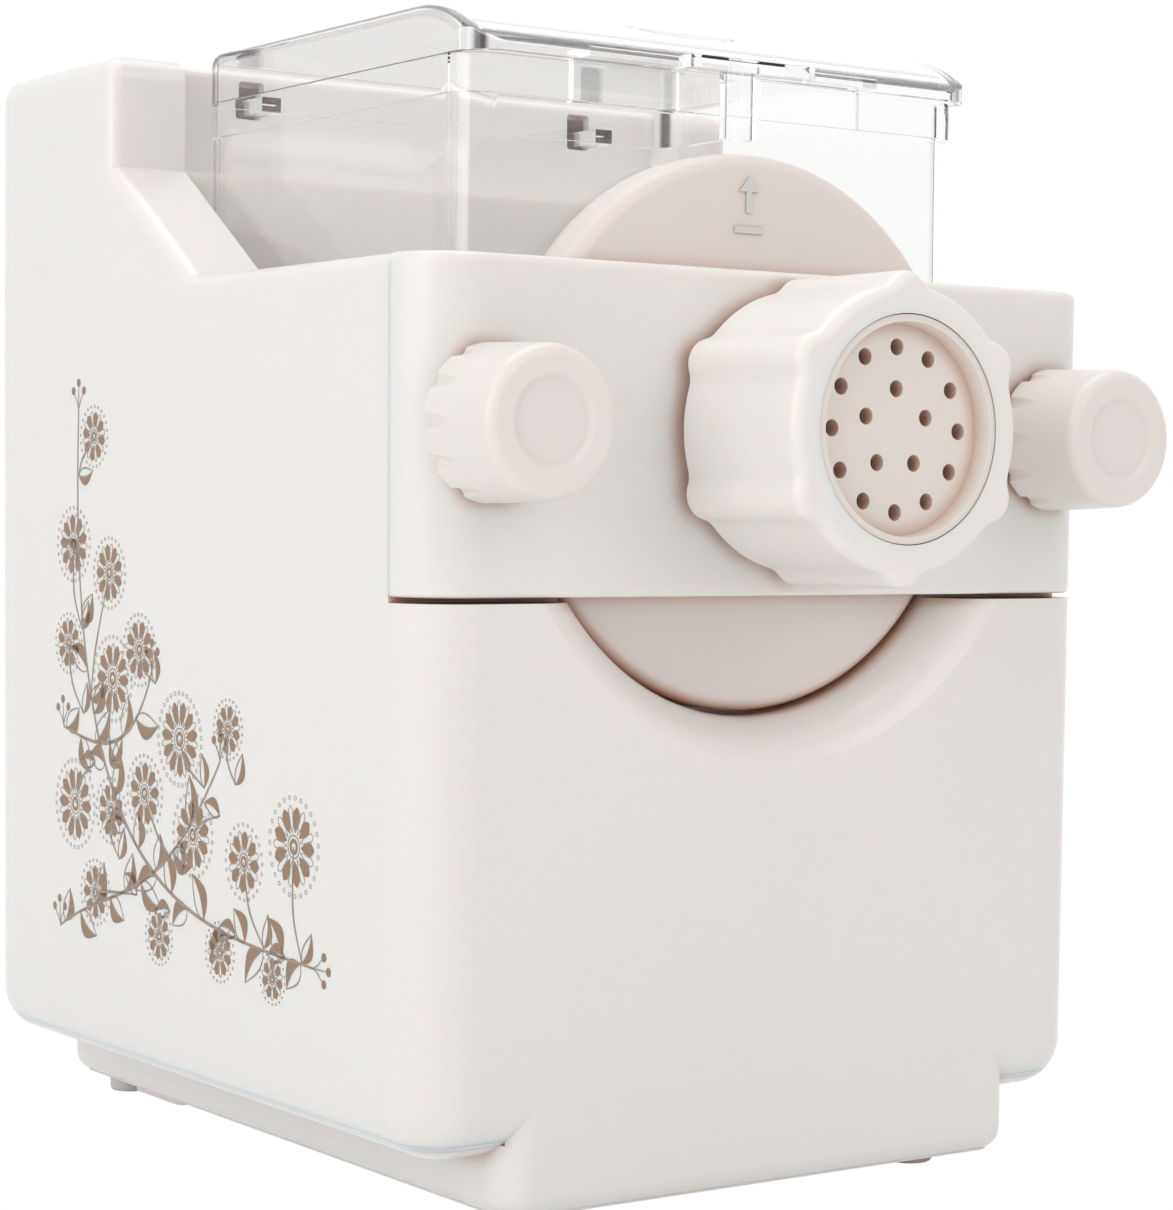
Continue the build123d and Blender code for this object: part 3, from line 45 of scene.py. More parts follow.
camera_place = Vector((-0.44337, -0.64479, 0.1629))
camera_yaw = radians(34.99)  # from +Y towards +X
camera_pitch = radians(-1.83)
camera_roll = radians(0.64)
camera_lens = 89.94
camera_sensor = 36.0

ahead = Vector(
    (
        sin(camera_yaw) * cos(camera_pitch),
        cos(camera_yaw) * cos(camera_pitch),
        sin(camera_pitch),
    )
)
level_right = Vector((cos(camera_yaw), -sin(camera_yaw), 0))
level_up = level_right.cross(ahead)
right = level_right * cos(camera_roll) + level_up * sin(camera_roll)
up = level_up * cos(camera_roll) - level_right * sin(camera_roll)

camera_data = bpy.data.cameras.new("camera")
camera_data.lens = camera_lens
camera_data.sensor_width = camera_sensor
camera = bpy.data.objects.new("camera", camera_data)
bpy.context.scene.collection.objects.link(camera)
camera.matrix_world = Matrix(
    (
        (right.x, up.x, -ahead.x, camera_place.x),
        (right.y, up.y, -ahead.y, camera_place.y),
        (right.z, up.z, -ahead.z, camera_place.z),
        (0, 0, 0, 1),
    )
)
bpy.context.scene.camera = camera

# ------------------------------------------------------------------ studio
# A white table and room, four soft boxes, and two black cards off the set that only the edges of the
# clear pieces find. The classes for sums on sockets and for a material's nodes are defined here too.


class Wire:
    """A shader socket that takes part in sums: each operator adds a Math node."""

    def __init__(self, tree, socket):
        self.tree = tree
        self.socket = socket

    def also(self, name):
        """Another output of the node that this one comes from."""
        return Wire(self.tree, self.socket.node.outputs[name])

    def _sum(self, operation, first, second):
        return self.tree.node("ShaderNodeMath", {"operation": operation}, {0: first, 1: second})

    def __add__(self, other):
        return self._sum("ADD", self, other)

    def __sub__(self, other):
        return self._sum("SUBTRACT", self, other)

    def __rsub__(self, other):
        return self._sum("SUBTRACT", other, self)

    def __mul__(self, other):
        return self._sum("MULTIPLY", self, other)

    __radd__ = __add__
    __rmul__ = __mul__

    def __gt__(self, other):
        return self._sum("GREATER_THAN", self, other)

    def __abs__(self):
        return self.tree.node("ShaderNodeMath", {"operation": "ABSOLUTE"}, {0: self})

    def or_more(self, other):
        """The larger of two values."""
        return self._sum("MAXIMUM", self, other)


class Tree:
    """The nodes of a material or of the room, and the one way in which they are added."""

    def __init__(self, node_tree):
        self.node_tree = node_tree

    def node(self, kind, settings=None, inputs=None, output=0):
        """Adds a node: its settings first, then the values or links of its sockets."""
        node = self.node_tree.nodes.new(kind)
        for key, value in (settings or {}).items():
            setattr(node, key, value)
        for key, value in (inputs or {}).items():
            self.plug(node.inputs[key], value)
        return Wire(self, node.outputs[output])

    def plug(self, socket, value):
        """Links a wire to a socket, or sets the socket's own value."""
        if isinstance(value, Wire):
            self.node_tree.links.new(value.socket, socket)
        else:
            socket.default_value = value

    def show(self, amount, low, high):
        """Sends a mix of two shaders to the output."""
        blend = self.node("ShaderNodeMixShader", inputs={0: amount, 1: low, 2: high})
        output = [node for node in self.node_tree.nodes if node.type.startswith("OUTPUT")][0]
        self.plug(output.inputs["Surface"], blend)


class Finish(Tree):
    """A material: its nodes, and the principled shader that they feed."""

    def __init__(self, name, colour, roughness, sockets=None):
        self.material = bpy.data.materials.new(name)
        self.material.use_nodes = True
        super().__init__(self.material.node_tree)
        self.shader = self.node_tree.nodes["Principled BSDF"]
        self.set("Base Color", (*colour, 1))
        self.set("Roughness", roughness)
        for key, value in (sockets or {}).items():
            self.set(key, value)

    def set(self, name, value):
        self.plug(self.shader.inputs[name], value)

    def lit(self):
        """What the principled shader gives."""
        return Wire(self, self.shader.outputs[0])

    def place(self):
        """Position on the object, in metres, the same at every pose."""
        return self.node("ShaderNodeTexCoord").also("Object")

    def noise(self, scale, detail=2.0):
        return self.node(
            "ShaderNodeTexNoise",
            inputs={"Vector": self.place(), "Scale": scale, "Detail": detail},
        )

    def mix(self, amount, low, high):
        """Colour between two colours, by an amount from 0 to 1."""
        inputs = {0: amount, 6: low, 7: high}
        return self.node("ShaderNodeMix", {"data_type": "RGBA"}, inputs, output=2)

    def bump(self, height, strength, distance):
        inputs = {"Strength": strength, "Distance": distance, "Height": height}
        self.set("Normal", self.node("ShaderNodeBump", inputs=inputs))


def seen_plainly(tree):
    """1 for what the camera, a mirror or a clear wall sees, and 0 for what lights the object."""
    path = tree.node("ShaderNodeLightPath")
    seen = path.also("Is Camera Ray") + path.also("Is Glossy Ray") + path.also("Is Transmission Ray")
    return tree.node("ShaderNodeClamp", inputs={0: seen})


def add_mesh(name, points, faces, finish):
    """A new mesh with a finish."""
    mesh = bpy.data.meshes.new(name)
    mesh.from_pydata(points, [], faces)
    mesh.update()
    mesh.materials.append(finish.material)
    piece = bpy.data.objects.new(name, mesh)
    bpy.context.scene.collection.objects.link(piece)
    return piece


table_white = (0.93, 0.93, 0.93)
table_roughness = 0.6
plain_white = (1, 1, 1, 1)
room_level = 0.59  # of the light that comes from all sides
floor_reach = 6.0
square = ((-1, -1), (1, -1), (1, 1), (-1, 1))

table = Finish("floor_white", table_white, table_roughness)
table.show(
    seen_plainly(table),
    table.lit(),
    table.node("ShaderNodeEmission", inputs={"Color": plain_white}),
)
floor_corners = [(x * floor_reach, y * floor_reach, 0) for x, y in square]
add_mesh("floor", floor_corners, [(0, 1, 2, 3)], table)

world = bpy.data.worlds.new("room")
bpy.context.scene.world = world
world.use_nodes = True
world.node_tree.nodes.remove(world.node_tree.nodes["Background"])
room = Tree(world.node_tree)
room.show(
    seen_plainly(room),
    room.node("ShaderNodeBackground", inputs={"Color": plain_white, "Strength": room_level}),
    room.node("ShaderNodeBackground", inputs={"Color": plain_white}),
)


def soft_box(name, place, aim, size, power, colour=(1, 1, 1)):
    """Large lamp that faces a point."""
    data = bpy.data.lights.new(name, "AREA")
    data.energy = power
    data.color = colour
    data.shape = "RECTANGLE"
    data.size, data.size_y = size
    lamp = bpy.data.objects.new(name, data)
    bpy.context.scene.collection.objects.link(lamp)
    lamp.location = place
    lamp.rotation_euler = (Vector(aim) - Vector(place)).to_track_quat("-Z", "Y").to_euler()


middle = (0, 0, 0.14)
foot_of_side = (0, 0, 0.05)
warm_white = (1, 0.905, 0.885)
soft_box("left_box", (-1.9, -0.6, 1.1), middle, (1.4, 1.6), 10.4)
soft_box("low_box", (-1.7, -0.3, 0.4), foot_of_side, (1.6, 0.6), 2.9)
soft_box("front_box", (0.5, -2.2, 1.3), middle, (1.8, 1.2), 8.6, warm_white)
soft_box("top_box", (0.1, 0.2, 2.1), middle, (1.6, 1.6), 13)

card_black = (0.01, 0.01, 0.01)


def dark_card(name, place, reach):
    """Black card that only light bent by a clear edge can find."""
    face = (Vector(middle) - Vector(place)).to_track_quat("Z", "Y").to_matrix()
    corners = [Vector(place) + face @ Vector((x * reach, y * reach, 0)) for x, y in square]
    card = add_mesh(name, corners, [(0, 1, 2, 3)], Finish(name, card_black, 1.0))
    card.visible_camera = False
    card.visible_diffuse = False
    card.visible_glossy = False
    card.visible_shadow = False


dark_card("right_card", (1.39, -0.67, 0.59), 0.4)
dark_card("rear_card", (-0.96, 1.12, 0.78), 0.25)

bpy.context.scene.view_settings.view_transform = "Standard"

# ------------------------------------------------------------------ housing and front plate
# Both are injection moulded in warm white ABS with a polished tool: a clean gloss over a very faint
# grain. The plate is cut from the same form, and the cradle behind it shares its finish. Light sinks
# a few millimetres into the plastic, and narrow joints are also given a warm painted shade, found by
# occlusion.

shell_colour = (0.83, 0.798, 0.772)
shell_roughness = 0.22
# painted shade: narrow joints are coloured toward this warm brown where occlusion finds close surfaces
painted_warm_shade = (0.60, 0.33, 0.22)
shade_reach = 0.004  # how far into a joint the plain colour lasts
bleed = 0.005
bleed_by_colour = (1.0, 0.42, 0.26)
deep_glow = 0.4


def moulded(name, colour, roughness, grain=1500.0, depth=0.000012, glow=0.1, joint=None, painted_shade_up_to=None):
    """Moulded plastic: a close grain in gloss and tone, left by the tool.

    Where occlusion finds other surfaces close by, narrow joints get painted shade in the given joint
    colour, only in front of the given depth when one is given.
    """
    sockets = {
        "Subsurface Weight": glow,
        "Subsurface Scale": bleed,
        "Subsurface Radius": bleed_by_colour,
    }
    finish = Finish(name, colour, roughness, sockets)
    fleck = finish.noise(grain)
    gloss_spread = 0.06
    finish.set("Roughness", fleck * gloss_spread + (roughness - gloss_spread / 2))
    shade = tuple(c * 0.985 for c in colour)
    surface = finish.mix(fleck, (*colour, 1), (*shade, 1))
    # painted shade: occlusion turns narrow joints toward the joint colour
    if joint:
        open_share = finish.node(
            "ShaderNodeAmbientOcclusion", {"samples": 6}, {"Distance": shade_reach}, output=1
        )
        if painted_shade_up_to is not None:
            beyond_painted_shade = finish.node("ShaderNodeSeparateXYZ", inputs={0: finish.place()}).also("Y") > painted_shade_up_to
            open_share = open_share + beyond_painted_shade
        surface = finish.mix(open_share, (*joint, 1), surface)
    finish.set("Base Color", surface)
    finish.bump(fleck, 0.2, depth)
    return finish


def dress(finish, *names):
    """Gives CAD nodes a finish."""
    for name in names:
        slots = nodes[name].data.materials
        slots.clear()
        slots.append(finish.material)


# painted shade stops behind this depth, so the housing around the cup stays plain
painted_shade_depth = -0.066  # the seat behind the cover
shell = moulded(
    "warm_white_shell", shell_colour, shell_roughness, glow=deep_glow, joint=painted_warm_shade, painted_shade_up_to=painted_shade_depth
)
dress(shell, "main_housing", "cup_cradle")
plate = moulded("warm_white_plate", shell_colour, shell_roughness, glow=deep_glow, joint=painted_warm_shade)
dress(plate, "front_plate")

# ------------------------------------------------------------------ bead along the hem
# A thin bead of the same plastic that closes the joint in the round under the body. It follows the
# body's outline and lies just under the surface of the round.

hem_round = 0.012
hem_centre = 0.03  # height of the round's centre
hem_half_width = 0.086848
hem_front = -0.0791
hem_rear = 0.1226
hem_corner = 0.0016
bead_under = 0.00001
bead_thickness = 0.0007
bead_start = 40.3  # degrees down from level
bead_step = 2.4
bead_turns = [radians(bead_start + bead_step * k) for k in range(5)]
corner_steps = 8

bead_section = [(hem_round - bead_under, turn) for turn in bead_turns]
bead_section += [(hem_round - bead_thickness, turn) for turn in reversed(bead_turns)]
bead_points = []
for quarter, (side, end) in enumerate(((1, 1), (-1, 1), (-1, -1), (1, -1))):
    centre_x = side * (hem_half_width - hem_corner)
    centre_y = hem_rear - hem_corner if end > 0 else hem_front + hem_corner
    for k in range(corner_steps + 1):
        outwards = (quarter + k / corner_steps) * pi / 2
        for radius, turn in bead_section:
            reach = hem_corner + radius * cos(turn)
            height = hem_centre - radius * sin(turn)
            bead_points.append((centre_x + cos(outwards) * reach, centre_y + sin(outwards) * reach, height))
around = len(bead_section)
bead_stations = len(bead_points) // around
bead_faces = []
for station in range(bead_stations):
    here = station * around
    there = (station + 1) % bead_stations * around
    for k in range(around):
        after = (k + 1) % around
        bead_faces.append((here + k, here + after, there + after, there + k))
bead = add_mesh("hem_bead", bead_points, bead_faces, shell)
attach(bead, "machine")

# ------------------------------------------------------------------ printed garland on the left side
# Pad-printed in two inks, taupe and a paler grey, on the flat of the left side: vines that climb the
# rear corner, with daisies, half-filled leaves and berries. Each ink is a film a few hundredths thick.

film = 0.00004
side_draft = tan(radians(0.35))
deck = 0.2185
side_at_deck = -0.1
body_front = -0.09225
taupe = (0.25, 0.15, 0.082)
grey = (0.28, 0.225, 0.185)


class Ink:
    """Shapes of one ink, drawn as (depth behind the front, height) in millimetres."""

    def __init__(self, name, finish, lift):
        self.name = name
        self.finish = finish
        self.lift = lift
        self.points = []
        self.faces = []

    def _on_side(self, depth, height, out):
        z = height / 1000
        x = side_at_deck + (deck - z) * side_draft - out
        return (x, body_front + depth / 1000, z)

    def shape(self, outline):
        """A closed outline becomes a film: a back, a front and a rim."""
        count = len(outline)
        start = len(self.points)
        for out in (0.0, self.lift):
            self.points += [self._on_side(u, v, out) for u, v in outline]
        self.faces.append(tuple(range(start, start + count)))
        self.faces.append(tuple(reversed(range(start + count, start + 2 * count))))
        for k in range(count):
            after = (k + 1) % count
            self.faces.append((start + k, start + count + k, start + count + after, start + after))

    def dot(self, centre, radius, sides=14):
        self.shape([polar(centre, radius, 2 * pi * k / sides) for k in range(sides)])

    def line(self, path, width):
        """A stroke along points, tapered to its ends."""
        left, back = [], []
        for k, (u, v) in enumerate(path):
            ahead_point = path[min(k + 1, len(path) - 1)]
            behind = path[max(k - 1, 0)]
            along = atan2(ahead_point[1] - behind[1], ahead_point[0] - behind[0])
            half = width / 2 * (1 - 0.45 * abs(2 * k / (len(path) - 1) - 1))
            left.append(polar((u, v), half, along + pi / 2))
            back.append(polar((u, v), half, along - pi / 2))
        self.shape(left + back[::-1])

    def ring(self, centre, radius, width, sides=22):
        """A circle line, in two halves."""
        for half in (0, 1):
            arc = [pi * (half + k / sides) for k in range(sides + 1)]
            outside = [polar(centre, radius, turn) for turn in arc]
            inside = [polar(centre, radius - width, turn) for turn in arc]
            self.shape(outside + inside[::-1])

    def print_it(self):
        """All shapes of this ink become one piece."""
        piece = add_mesh(self.name, self.points, self.faces, self.finish)
        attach(piece, "machine")


def polar(centre, radius, turn):
    return (centre[0] + radius * cos(turn), centre[1] + radius * sin(turn))


def bezier(a, b, c, d, steps):
    """Points along a cubic curve."""
    path = []
    for k in range(steps + 1):
        t = k / steps
        s = 1 - t
        path.append(
            tuple(s**3 * a[i] + 3 * s * s * t * b[i] + 3 * s * t * t * c[i] + t**3 * d[i] for i in (0, 1))
        )
    return path


def ink_finish(name, colour):
    """Satin ink with a fine grain in its tone."""
    finish = Finish(name, colour, 0.34)
    grain = finish.noise(2200.0, 1.0)
    pale = tuple(c * 1.18 for c in colour)
    finish.set("Base Color", finish.mix(grain, (*colour, 1), (*pale, 1)))
    return finish


fills = Ink("print_fills", ink_finish("taupe_ink", taupe), film)
lines = Ink("print_lines", ink_finish("grey_ink", grey), film * 1.4)


def petal(centre, turn, near, far, width):
    """Filled teardrop that points away from the centre."""
    outline = []
    steps = 9
    for k in range(steps + 1):
        t = k / steps
        half = width / 2 * sin(pi * t**1.35) ** 0.8
        outline.append((near + (far - near) * t, half))
    both = outline + [(r, -h) for r, h in outline[-2:0:-1]]
    fills.shape(
        [
            (
                centre[0] + r * cos(turn) - h * sin(turn),
                centre[1] + r * sin(turn) + h * cos(turn),
            )
            for r, h in both
        ]
    )


petal_line = 0.3
eye_line = 0.35
edging_line = 0.16


def daisy(centre, radius, petals, start=0.0):
    """Filled petals with outlined ones between them, around a ringed eye, in a dotted edging."""
    eye = 0.34 * radius
    for k in range(petals):
        turn = start + 2 * pi * k / petals
        petal(centre, turn, eye, radius, 1.1 * radius * sin(pi / petals))
        between = turn + pi / petals
        for side in (-1, 1):
            bow = [
                polar(centre, eye, between),
                polar(centre, 0.66 * radius, between + side * 0.42 * pi / petals),
                polar(centre, 0.92 * radius, between + side * 0.30 * pi / petals),
                polar(centre, 1.02 * radius, between),
            ]
            lines.line(bow, petal_line)
    lines.ring(centre, 0.30 * radius, eye_line)
    fills.ring(centre, 0.20 * radius, 0.10 * radius)
    edging = 3 * petals
    for k in range(edging):
        turn = start + 2 * pi * (k + 0.5) / edging
        lines.ring(polar(centre, 1.2 * radius, turn), 0.062 * radius, edging_line, 6)


leaf_edge = 0.5
leaf_rib = 0.45


def leaf(root, turn, length, width):
    """One half filled, the other an outline, with a midrib."""
    steps = 10
    rib, upper, lower = [], [], []
    for k in range(steps + 1):
        t = k / steps
        bend = 0.10 * length * sin(pi * t)
        half = width / 2 * sin(pi * t**0.8)
        for path, offset in ((rib, bend), (upper, bend + half), (lower, bend - half)):
            path.append(
                (
                    root[0] + length * t * cos(turn) - offset * sin(turn),
                    root[1] + length * t * sin(turn) + offset * cos(turn),
                )
            )
    fills.shape(rib + upper[-2:0:-1])
    lines.line(lower, leaf_edge)
    lines.line(rib, leaf_rib)


berry_reach = 6.0
berry_radius = 1.1
berry_stalk = 0.4


def berries(root, turn):
    """Three berries on stalks that spread from one point."""
    for swing, share in ((-0.55, 0.8), (0.0, 1.0), (0.55, 0.8)):
        reach = berry_reach * share
        end = polar(root, reach, turn + swing)
        lines.line([root, polar(root, reach * 0.5, turn + swing * 0.7), end], berry_stalk)
        fills.dot(polar(end, berry_radius, turn + swing), berry_radius, 12)


leaf_length = 12.5
leaf_width = 6.6
leaf_swing = 0.85
vine_line = 1.1
vine_steps = 60
# vines: four control points, and how many leaves each carries
vines = (
    ((47, 57), (104, 60), (178, 56), (170, 187), 17),
    ((181, 51), (150, 66), (124, 60), (92, 101), 9),
    ((179, 104), (160, 100), (140, 96), (128, 121), 6),
)
for root, bend_a, bend_b, tip, leaves in vines:
    vine = bezier(root, bend_a, bend_b, tip, vine_steps)
    lines.line(vine, vine_line)
    for k in range(leaves):
        spot = 2 + int((vine_steps - 5) * k / leaves)
        here = vine[spot]
        along = atan2(vine[spot + 1][1] - here[1], vine[spot + 1][0] - here[0])
        swing = leaf_swing if k % 2 else -leaf_swing
        leaf(here, along + swing, leaf_length * (0.75 + 0.25 * (k % 3) / 2), leaf_width)
    berries(tip, pi / 2)
    berries(root, pi if root[0] < 100 else 1.5)

stem_line = 0.8
stem_leaf = (8.5, 4.6)
# heads: where the stem starts, the daisy's middle, its radius and its petals
heads = (
    ((52, 57.5), (56, 84), 9.5, 9),
    ((70, 58.6), (80, 78), 7.5, 8),
    ((84, 96), (88, 109), 6.0, 8),
    ((92, 88), (106, 82), 8.5, 9),
    ((100, 94), (113, 105), 9.5, 11),
    ((112, 72), (132, 90), 8.0, 9),
    ((126, 118), (135, 126), 7.5, 9),
    ((150, 97), (150, 118), 9.0, 10),
    ((163, 112), (152, 145), 7.5, 9),
    ((168, 130), (173, 152), 8.0, 9),
    ((167, 108), (176, 126), 6.5, 8),
    ((160, 96), (172, 84), 9.5, 10),
    ((146, 72), (151, 84), 7.0, 8),
    ((136, 64), (160, 62), 7.0, 8),
    ((118, 62), (124, 55), 6.0, 8),
    ((84, 60), (92, 55), 6.0, 8),
    ((60, 58), (66, 52), 5.0, 7),
    ((170, 170), (161, 180), 6.5, 8),
)
for start, head, radius, petals in heads:
    lean = (start[0] * 0.5 + head[0] * 0.5 + 3, start[1] * 0.6 + head[1] * 0.4)
    lines.line(bezier(start, lean, lean, head, 12), stem_line)
    daisy(head, radius, petals, 0.2 + head[0])
    leaf(start, atan2(head[1] - start[1], head[0] - start[0]) + 0.7, *stem_leaf)
fills.print_it()
lines.print_it()

# ------------------------------------------------------------------ extruder cover, die, nut, knobs
# The pieces that come off for washing are moulded in the same white, a touch creamier and more matt.
# The nut's colour is a paler copy of that white, painted light, and the cover's a darker copy, painted
# shade from the cup above it. Their narrow joints get painted shade as well.
# The cover carries a raised arrow over a bar, which shows which edge is the upper one.

knob_colour = (0.805, 0.768, 0.735)
# painted light: the nut's colour is a paler copy of the knobs' white
nut_colour_painted_light = (0.85, 0.822, 0.795)
# painted shade: the cover's colour is a darker copy of the same white, for the cup's shade over it
cover_colour_painted_shade = (0.775, 0.715, 0.682)
die_colour = (0.80, 0.74, 0.69)
washed_grain = 1800.0


def washed_piece(name, colour, roughness=0.30, glow=deep_glow):
    """Moulded plastic for a piece that is taken off and washed, with painted shade in its narrow joints."""
    return moulded(name, colour, roughness, grain=washed_grain, glow=glow, joint=painted_warm_shade)


trim = washed_piece("cream_trim", knob_colour)
dress(trim, "knob_left", "knob_right", "knob_washer_left", "knob_washer_right")
nut = washed_piece("cream_nut", nut_colour_painted_light)
dress(nut, "ring_nut")
cover = washed_piece("cream_cover", cover_colour_painted_shade)
dress(cover, "extruder_cover")
die = washed_piece("die_acetal", die_colour, roughness=0.36, glow=0.25)
dress(die, "die_plate", "mixing_screw")


def raised(name, outlines, spot, depths, finish, body):
    """Signs that stand a little proud: each outline gets a back, a front and a rim."""
    points = []
    faces = []
    for outline in outlines:
        start = len(points)
        count = len(outline)
        for depth in depths:
            points += [spot(u / 1000, v / 1000, depth) for u, v in outline]
        faces.append(tuple(reversed(range(start, start + count))))
        faces.append(tuple(range(start + count, start + 2 * count)))
        for k in range(count):
            after = (k + 1) % count
            faces.append((start + k, start + after, start + count + after, start + count + k))
    piece = add_mesh(name, points, faces, finish)
    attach(piece, body)


mark_depths = (-0.0001, 0.0004)
mark_middle = -0.002
cover_face = body_front + 0.0132
# outlines of the arrow and of the bar: across and up, in millimetres
arrow = ((-0.8, 233), (0.8, 233), (0.8, 238), (2.9, 238), (0, 241.5), (-2.9, 238), (-0.8, 238))
arrow_bar = ((-4.2, 228.2), (4.2, 228.2), (4.2, 229.8), (-4.2, 229.8))
raised(
    "upper_edge_mark",
    (arrow, arrow_bar),
    lambda across, height, rise: (mark_middle + across, cover_face - rise, height),
    mark_depths,
    cover,
    "front_assembly",
)

# ------------------------------------------------------------------ mixing cup and lid
# Clear styrene-acrylonitrile, moulded and polished, 2 to 3 mm thick. Lamps shine through it, so the
# walls behind it stay bright. The lid's rounded edges get painted shade: a dark colour stands in for
# the dark lines that light led along the wall gives there.

clear_tint = (0.995, 0.995, 0.993)
painted_edge_shade = (0.12, 0.115, 0.12)
clear_index = 1.49
clear_haze = 0.015
turns_caught = 5.5


def clear_plastic(name):
    """Clear plastic that lets lamps through, and lets light that a wall has led along leave it."""
    finish = Finish(name, clear_tint, 0.0, {"Transmission Weight": 1.0, "IOR": clear_index})
    finish.set("Roughness", finish.noise(40.0) * clear_haze)
    path = finish.node("ShaderNodeLightPath")
    unlit = path.also("Is Shadow Ray") + path.also("Is Diffuse Ray")
    caught = path.also("Ray Depth") > turns_caught
    finish.show(
        finish.node("ShaderNodeClamp", inputs={0: unlit + caught}),
        finish.lit(),
        finish.node("ShaderNodeBsdfTransparent", inputs={"Color": (1, 1, 1, 1)}),
    )
    return finish


dress(clear_plastic("clear_cup"), "mixing_cup", "indicator_lens")

# a rounded edge is where no axis has a large share of the surface's direction
slant_from = 0.86
slant_full = 0.78
clear_lid = clear_plastic("clear_lid")
direction = clear_lid.node("ShaderNodeTexCoord").also("Normal")
shares = clear_lid.node("ShaderNodeSeparateXYZ", inputs={0: direction})
largest = abs(shares).or_more(abs(shares.also("Y"))).or_more(abs(shares.also("Z")))
painted_edge_share = (slant_from - largest) * (1 / (slant_from - slant_full))
# painted shade: the lid's colour goes dark on its rounded edges
clear_lid.set("Base Color", clear_lid.mix(painted_edge_share, (*clear_tint, 1), (*painted_edge_shade, 1)))
dress(clear_lid, "lid")

# ------------------------------------------------------------------ base and feet
# The base is a tray of the same cream plastic, a little more matt, screwed on from below; it is given a
# paler, pinker copy of the cream, painted light against the shade under the hem. The feet are pale
# rubber, the rear pair with a skid in front so that the machine can be slid.

# painted light: paler and pinker than the shell, so the side under the hem reads bright
base_colour_painted_light = (0.86, 0.80, 0.775)
base = moulded("base_plastic", base_colour_painted_light, 0.34, grain=1600.0)
dress(base, "base_cover")
foot_colour = (0.66, 0.60, 0.55)
pale_rubber = moulded("pale_rubber", foot_colour, 0.62, grain=2600.0, depth=0.00003, glow=0.0)
dress(pale_rubber, "feet", "cover_seal", "shaft_seal")

# ------------------------------------------------------------------ controls
# Four soft grey buttons in a cream panel on top of the tower, with a clear lamp beside them. Each
# button carries a pad-printed sign: a bar, a triangle, two bars and a ring.

dress(trim, "control_panel")
button_colour = (0.52, 0.51, 0.50)
soft_grey = moulded("soft_grey_button", button_colour, 0.45, grain=2400.0, depth=0.00002, glow=0.0)
buttons = ("push_button_1", "push_button_2", "push_button_3", "push_button_4")
dress(soft_grey, *buttons)

sign_ink = ink_finish("sign_ink", (0.80, 0.79, 0.77))
sign_depths = (-0.00002, 0.00006)
# outlines in millimetres about the button's middle
bar = ((-0.6, -2.6), (0.6, -2.6), (0.6, 2.6), (-0.6, 2.6))
triangle = ((-1.9, -2.4), (2.6, 0.0), (-1.9, 2.4))
bar_shift = 1.5
left_bar = [(u - bar_shift, v) for u, v in bar]
right_bar = [(u + bar_shift, v) for u, v in bar]
ring_radius = 2.6
ring_hole = 0.68  # share of the ring's radius
ring_sides = 20
ring_outer = [polar((0, 0), ring_radius, pi * k / ring_sides) for k in range(ring_sides + 1)]
ring_inner = [(u * ring_hole, v * ring_hole) for u, v in ring_outer[::-1]]
upper_half = ring_outer + ring_inner
lower_half = [(-u, -v) for u, v in upper_half]
signs = ((bar,), (triangle,), (left_bar, right_bar), (upper_half, lower_half))
for number, (button, sign) in enumerate(zip(buttons, signs), 1):
    low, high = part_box(button)
    middle_x = (low[0] + high[0]) / 2
    middle_y = (low[1] + high[1]) / 2
    raised(
        "button_sign_%d" % number,
        sign,
        lambda across, along, rise: (middle_x + across, middle_y + along, high[2] + rise),
        sign_depths,
        sign_ink,
        "button_%d" % number,
    )

# ------------------------------------------------------------------ studs, shafts and screws
# Plain turned steel, with small stains in its gloss. The studs stand in bosses of the housing, and the
# screws and bolts hold the gearbox, the motor and the base.


def bare_metal(name, colour, roughness, grain, depth):
    """Metal with a close grain in its gloss and surface."""
    finish = Finish(name, colour, roughness, {"Metallic": 1.0})
    fleck = finish.noise(grain, 3.0)
    gloss_spread = 0.22
    finish.set("Roughness", fleck * gloss_spread + (roughness - gloss_spread / 2))
    shade = tuple(c * 0.86 for c in colour)
    finish.set("Base Color", finish.mix(fleck, (*colour, 1), (*shade, 1)))
    finish.bump(fleck, 0.3, depth)
    return finish


turned_steel = bare_metal("turned_steel", (0.60, 0.60, 0.61), 0.28, 900.0, 0.00001)
dress(
    turned_steel,
    "clamp_studs",
    "output_shaft",
    "intermediate_axle",
    "gearbox_screws",
    "motor_bolts",
    "base_screws",
    "motor_pinion",
)

# ------------------------------------------------------------------ gearbox, end bells and bushes
# The gearbox and the motor's end bells are die-cast light alloy, left as it comes from the die: dull,
# with a fine orange-peel skin. The shafts run in bushes of sintered bronze.

cast_alloy = bare_metal("cast_alloy", (0.62, 0.63, 0.64), 0.46, 1100.0, 0.00006)
dress(cast_alloy, "gearbox_housing", "gearbox_cover", "motor_end_bells")
bush_bronze = bare_metal("bush_bronze", (0.62, 0.42, 0.20), 0.42, 3000.0, 0.00002)
dress(bush_bronze, "output_bearings", "motor_bushes")

# ------------------------------------------------------------------ gears
# Natural acetal, greased: a milky cream that light sinks into. Each is moulded in one piece, the middle
# wheel together with its small pinion.

acetal = moulded("natural_acetal", (0.78, 0.755, 0.66), 0.33, grain=1300.0, glow=0.3)
dress(acetal, "intermediate_gear", "output_gear")

# ------------------------------------------------------------------ motor
# The stator and the rotor are stacks of punched sheets, so their sides show fine lines across the
# shaft. The windings are enamelled copper wire, laid in turns. The fan and the small parts in black
# are moulded.


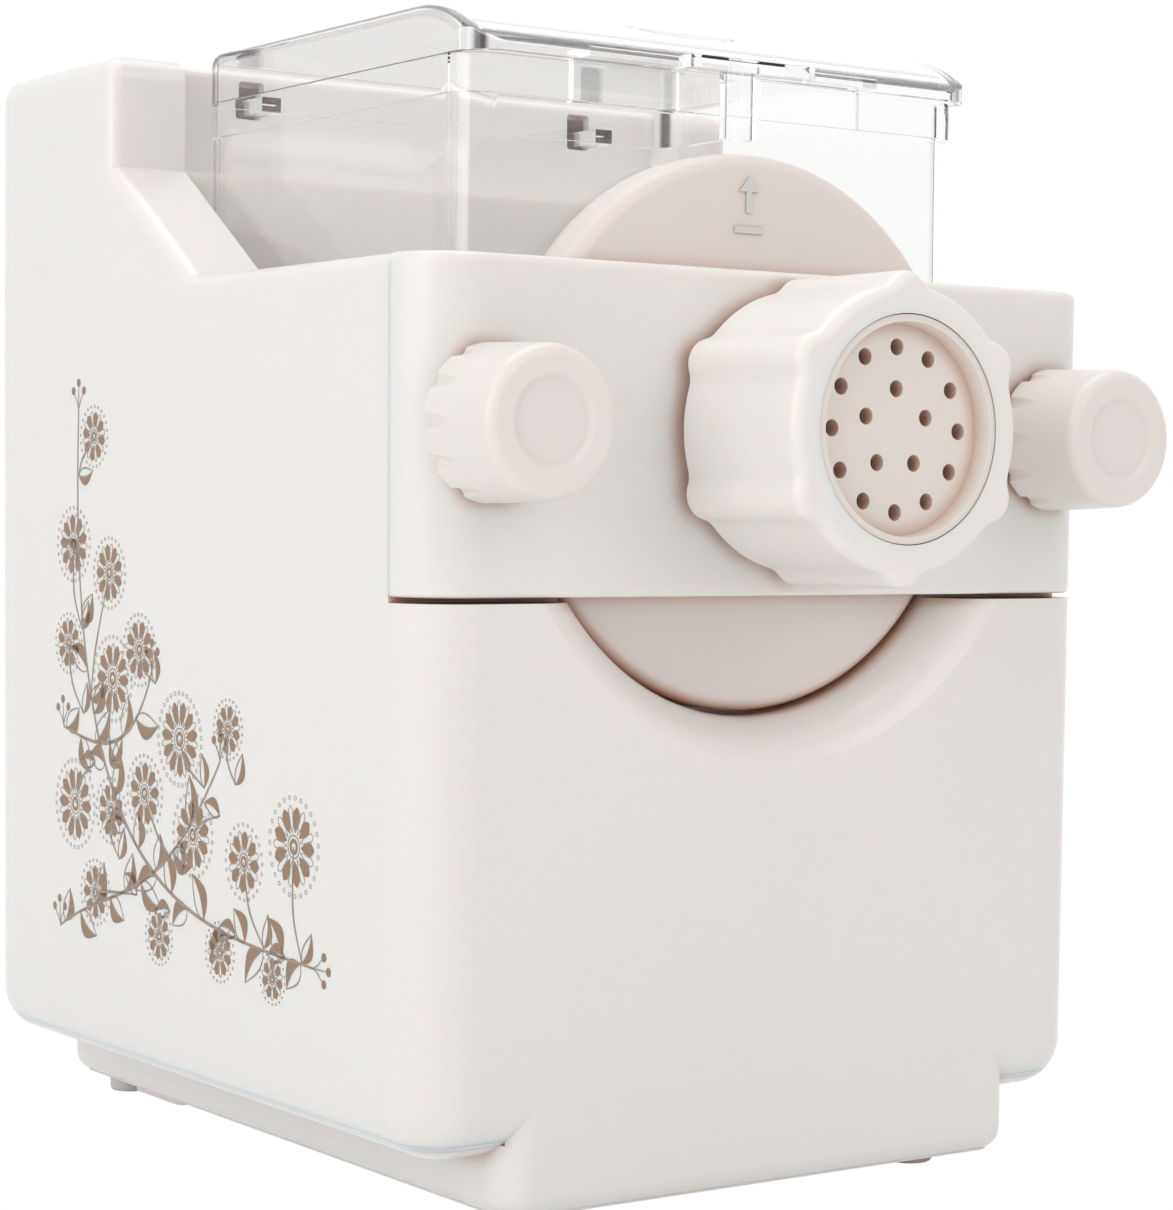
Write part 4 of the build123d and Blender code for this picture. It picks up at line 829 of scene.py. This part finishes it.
def layered(name, colour, roughness, pitch, axis, depth):
    """Metal with fine lines a pitch apart, square to an axis."""
    finish = Finish(name, colour, roughness, {"Metallic": 1.0})
    lines_across = finish.node(
        "ShaderNodeTexWave",
        {"bands_direction": axis, "wave_profile": "SIN"},
        {"Vector": finish.place(), "Scale": 0.314 / pitch, "Distortion": 0.4, "Detail Scale": 3.0},
        output=1,
    )
    shade = tuple(c * 0.62 for c in colour)
    finish.set("Base Color", finish.mix(lines_across, (*shade, 1), (*colour, 1)))
    finish.set("Roughness", lines_across * -0.12 + (roughness + 0.06))
    finish.bump(lines_across, 0.6, depth)
    return finish


sheet_pitch = 0.0006
sheets = layered("stacked_sheets", (0.30, 0.31, 0.33), 0.42, sheet_pitch, "Y", 0.00008)
dress(sheets, "motor_stator", "motor_rotor")
wire_pitch = 0.0007
wire = layered("enamelled_wire", (0.70, 0.30, 0.12), 0.26, wire_pitch, "DIAGONAL", 0.00022)
dress(wire, "motor_windings")
black_moulding = moulded("black_moulding", (0.018, 0.018, 0.020), 0.42, grain=1800.0, glow=0.0)
dress(black_moulding, "motor_fan", "lid_switch", "cord_bush", "tact_switches", "board_parts")

# ------------------------------------------------------------------ boards and capacitor
# Glass-fibre board under green lacquer, with the tracks showing as paler lines. The capacitor is a
# grey moulded box filled with resin.


def lacquered_board(name, colour, track_colour, pitch):
    """Lacquer over tracks that run in steps a pitch apart."""
    finish = Finish(name, colour, 0.30)
    tracks = finish.node(
        "ShaderNodeTexBrick",
        {"offset": 0.37, "squash": 1.0},
        {
            "Vector": finish.place(),
            "Scale": 1.0,
            "Mortar Size": pitch * 0.10,
            "Mortar Smooth": 0.2,
            "Brick Width": pitch * 2.4,
            "Row Height": pitch,
        },
        output=1,
    )
    finish.set("Base Color", finish.mix(tracks, (*colour, 1), (*track_colour, 1)))
    finish.bump(tracks, 0.4, 0.00004)
    return finish


track_pitch = 0.004
board = lacquered_board("green_board", (0.02, 0.115, 0.05), (0.06, 0.24, 0.11), track_pitch)
dress(board, "control_board", "power_board")
resin_grey = moulded("resin_grey", (0.33, 0.335, 0.34), 0.5, glow=0.0)
dress(resin_grey, "run_capacitor")
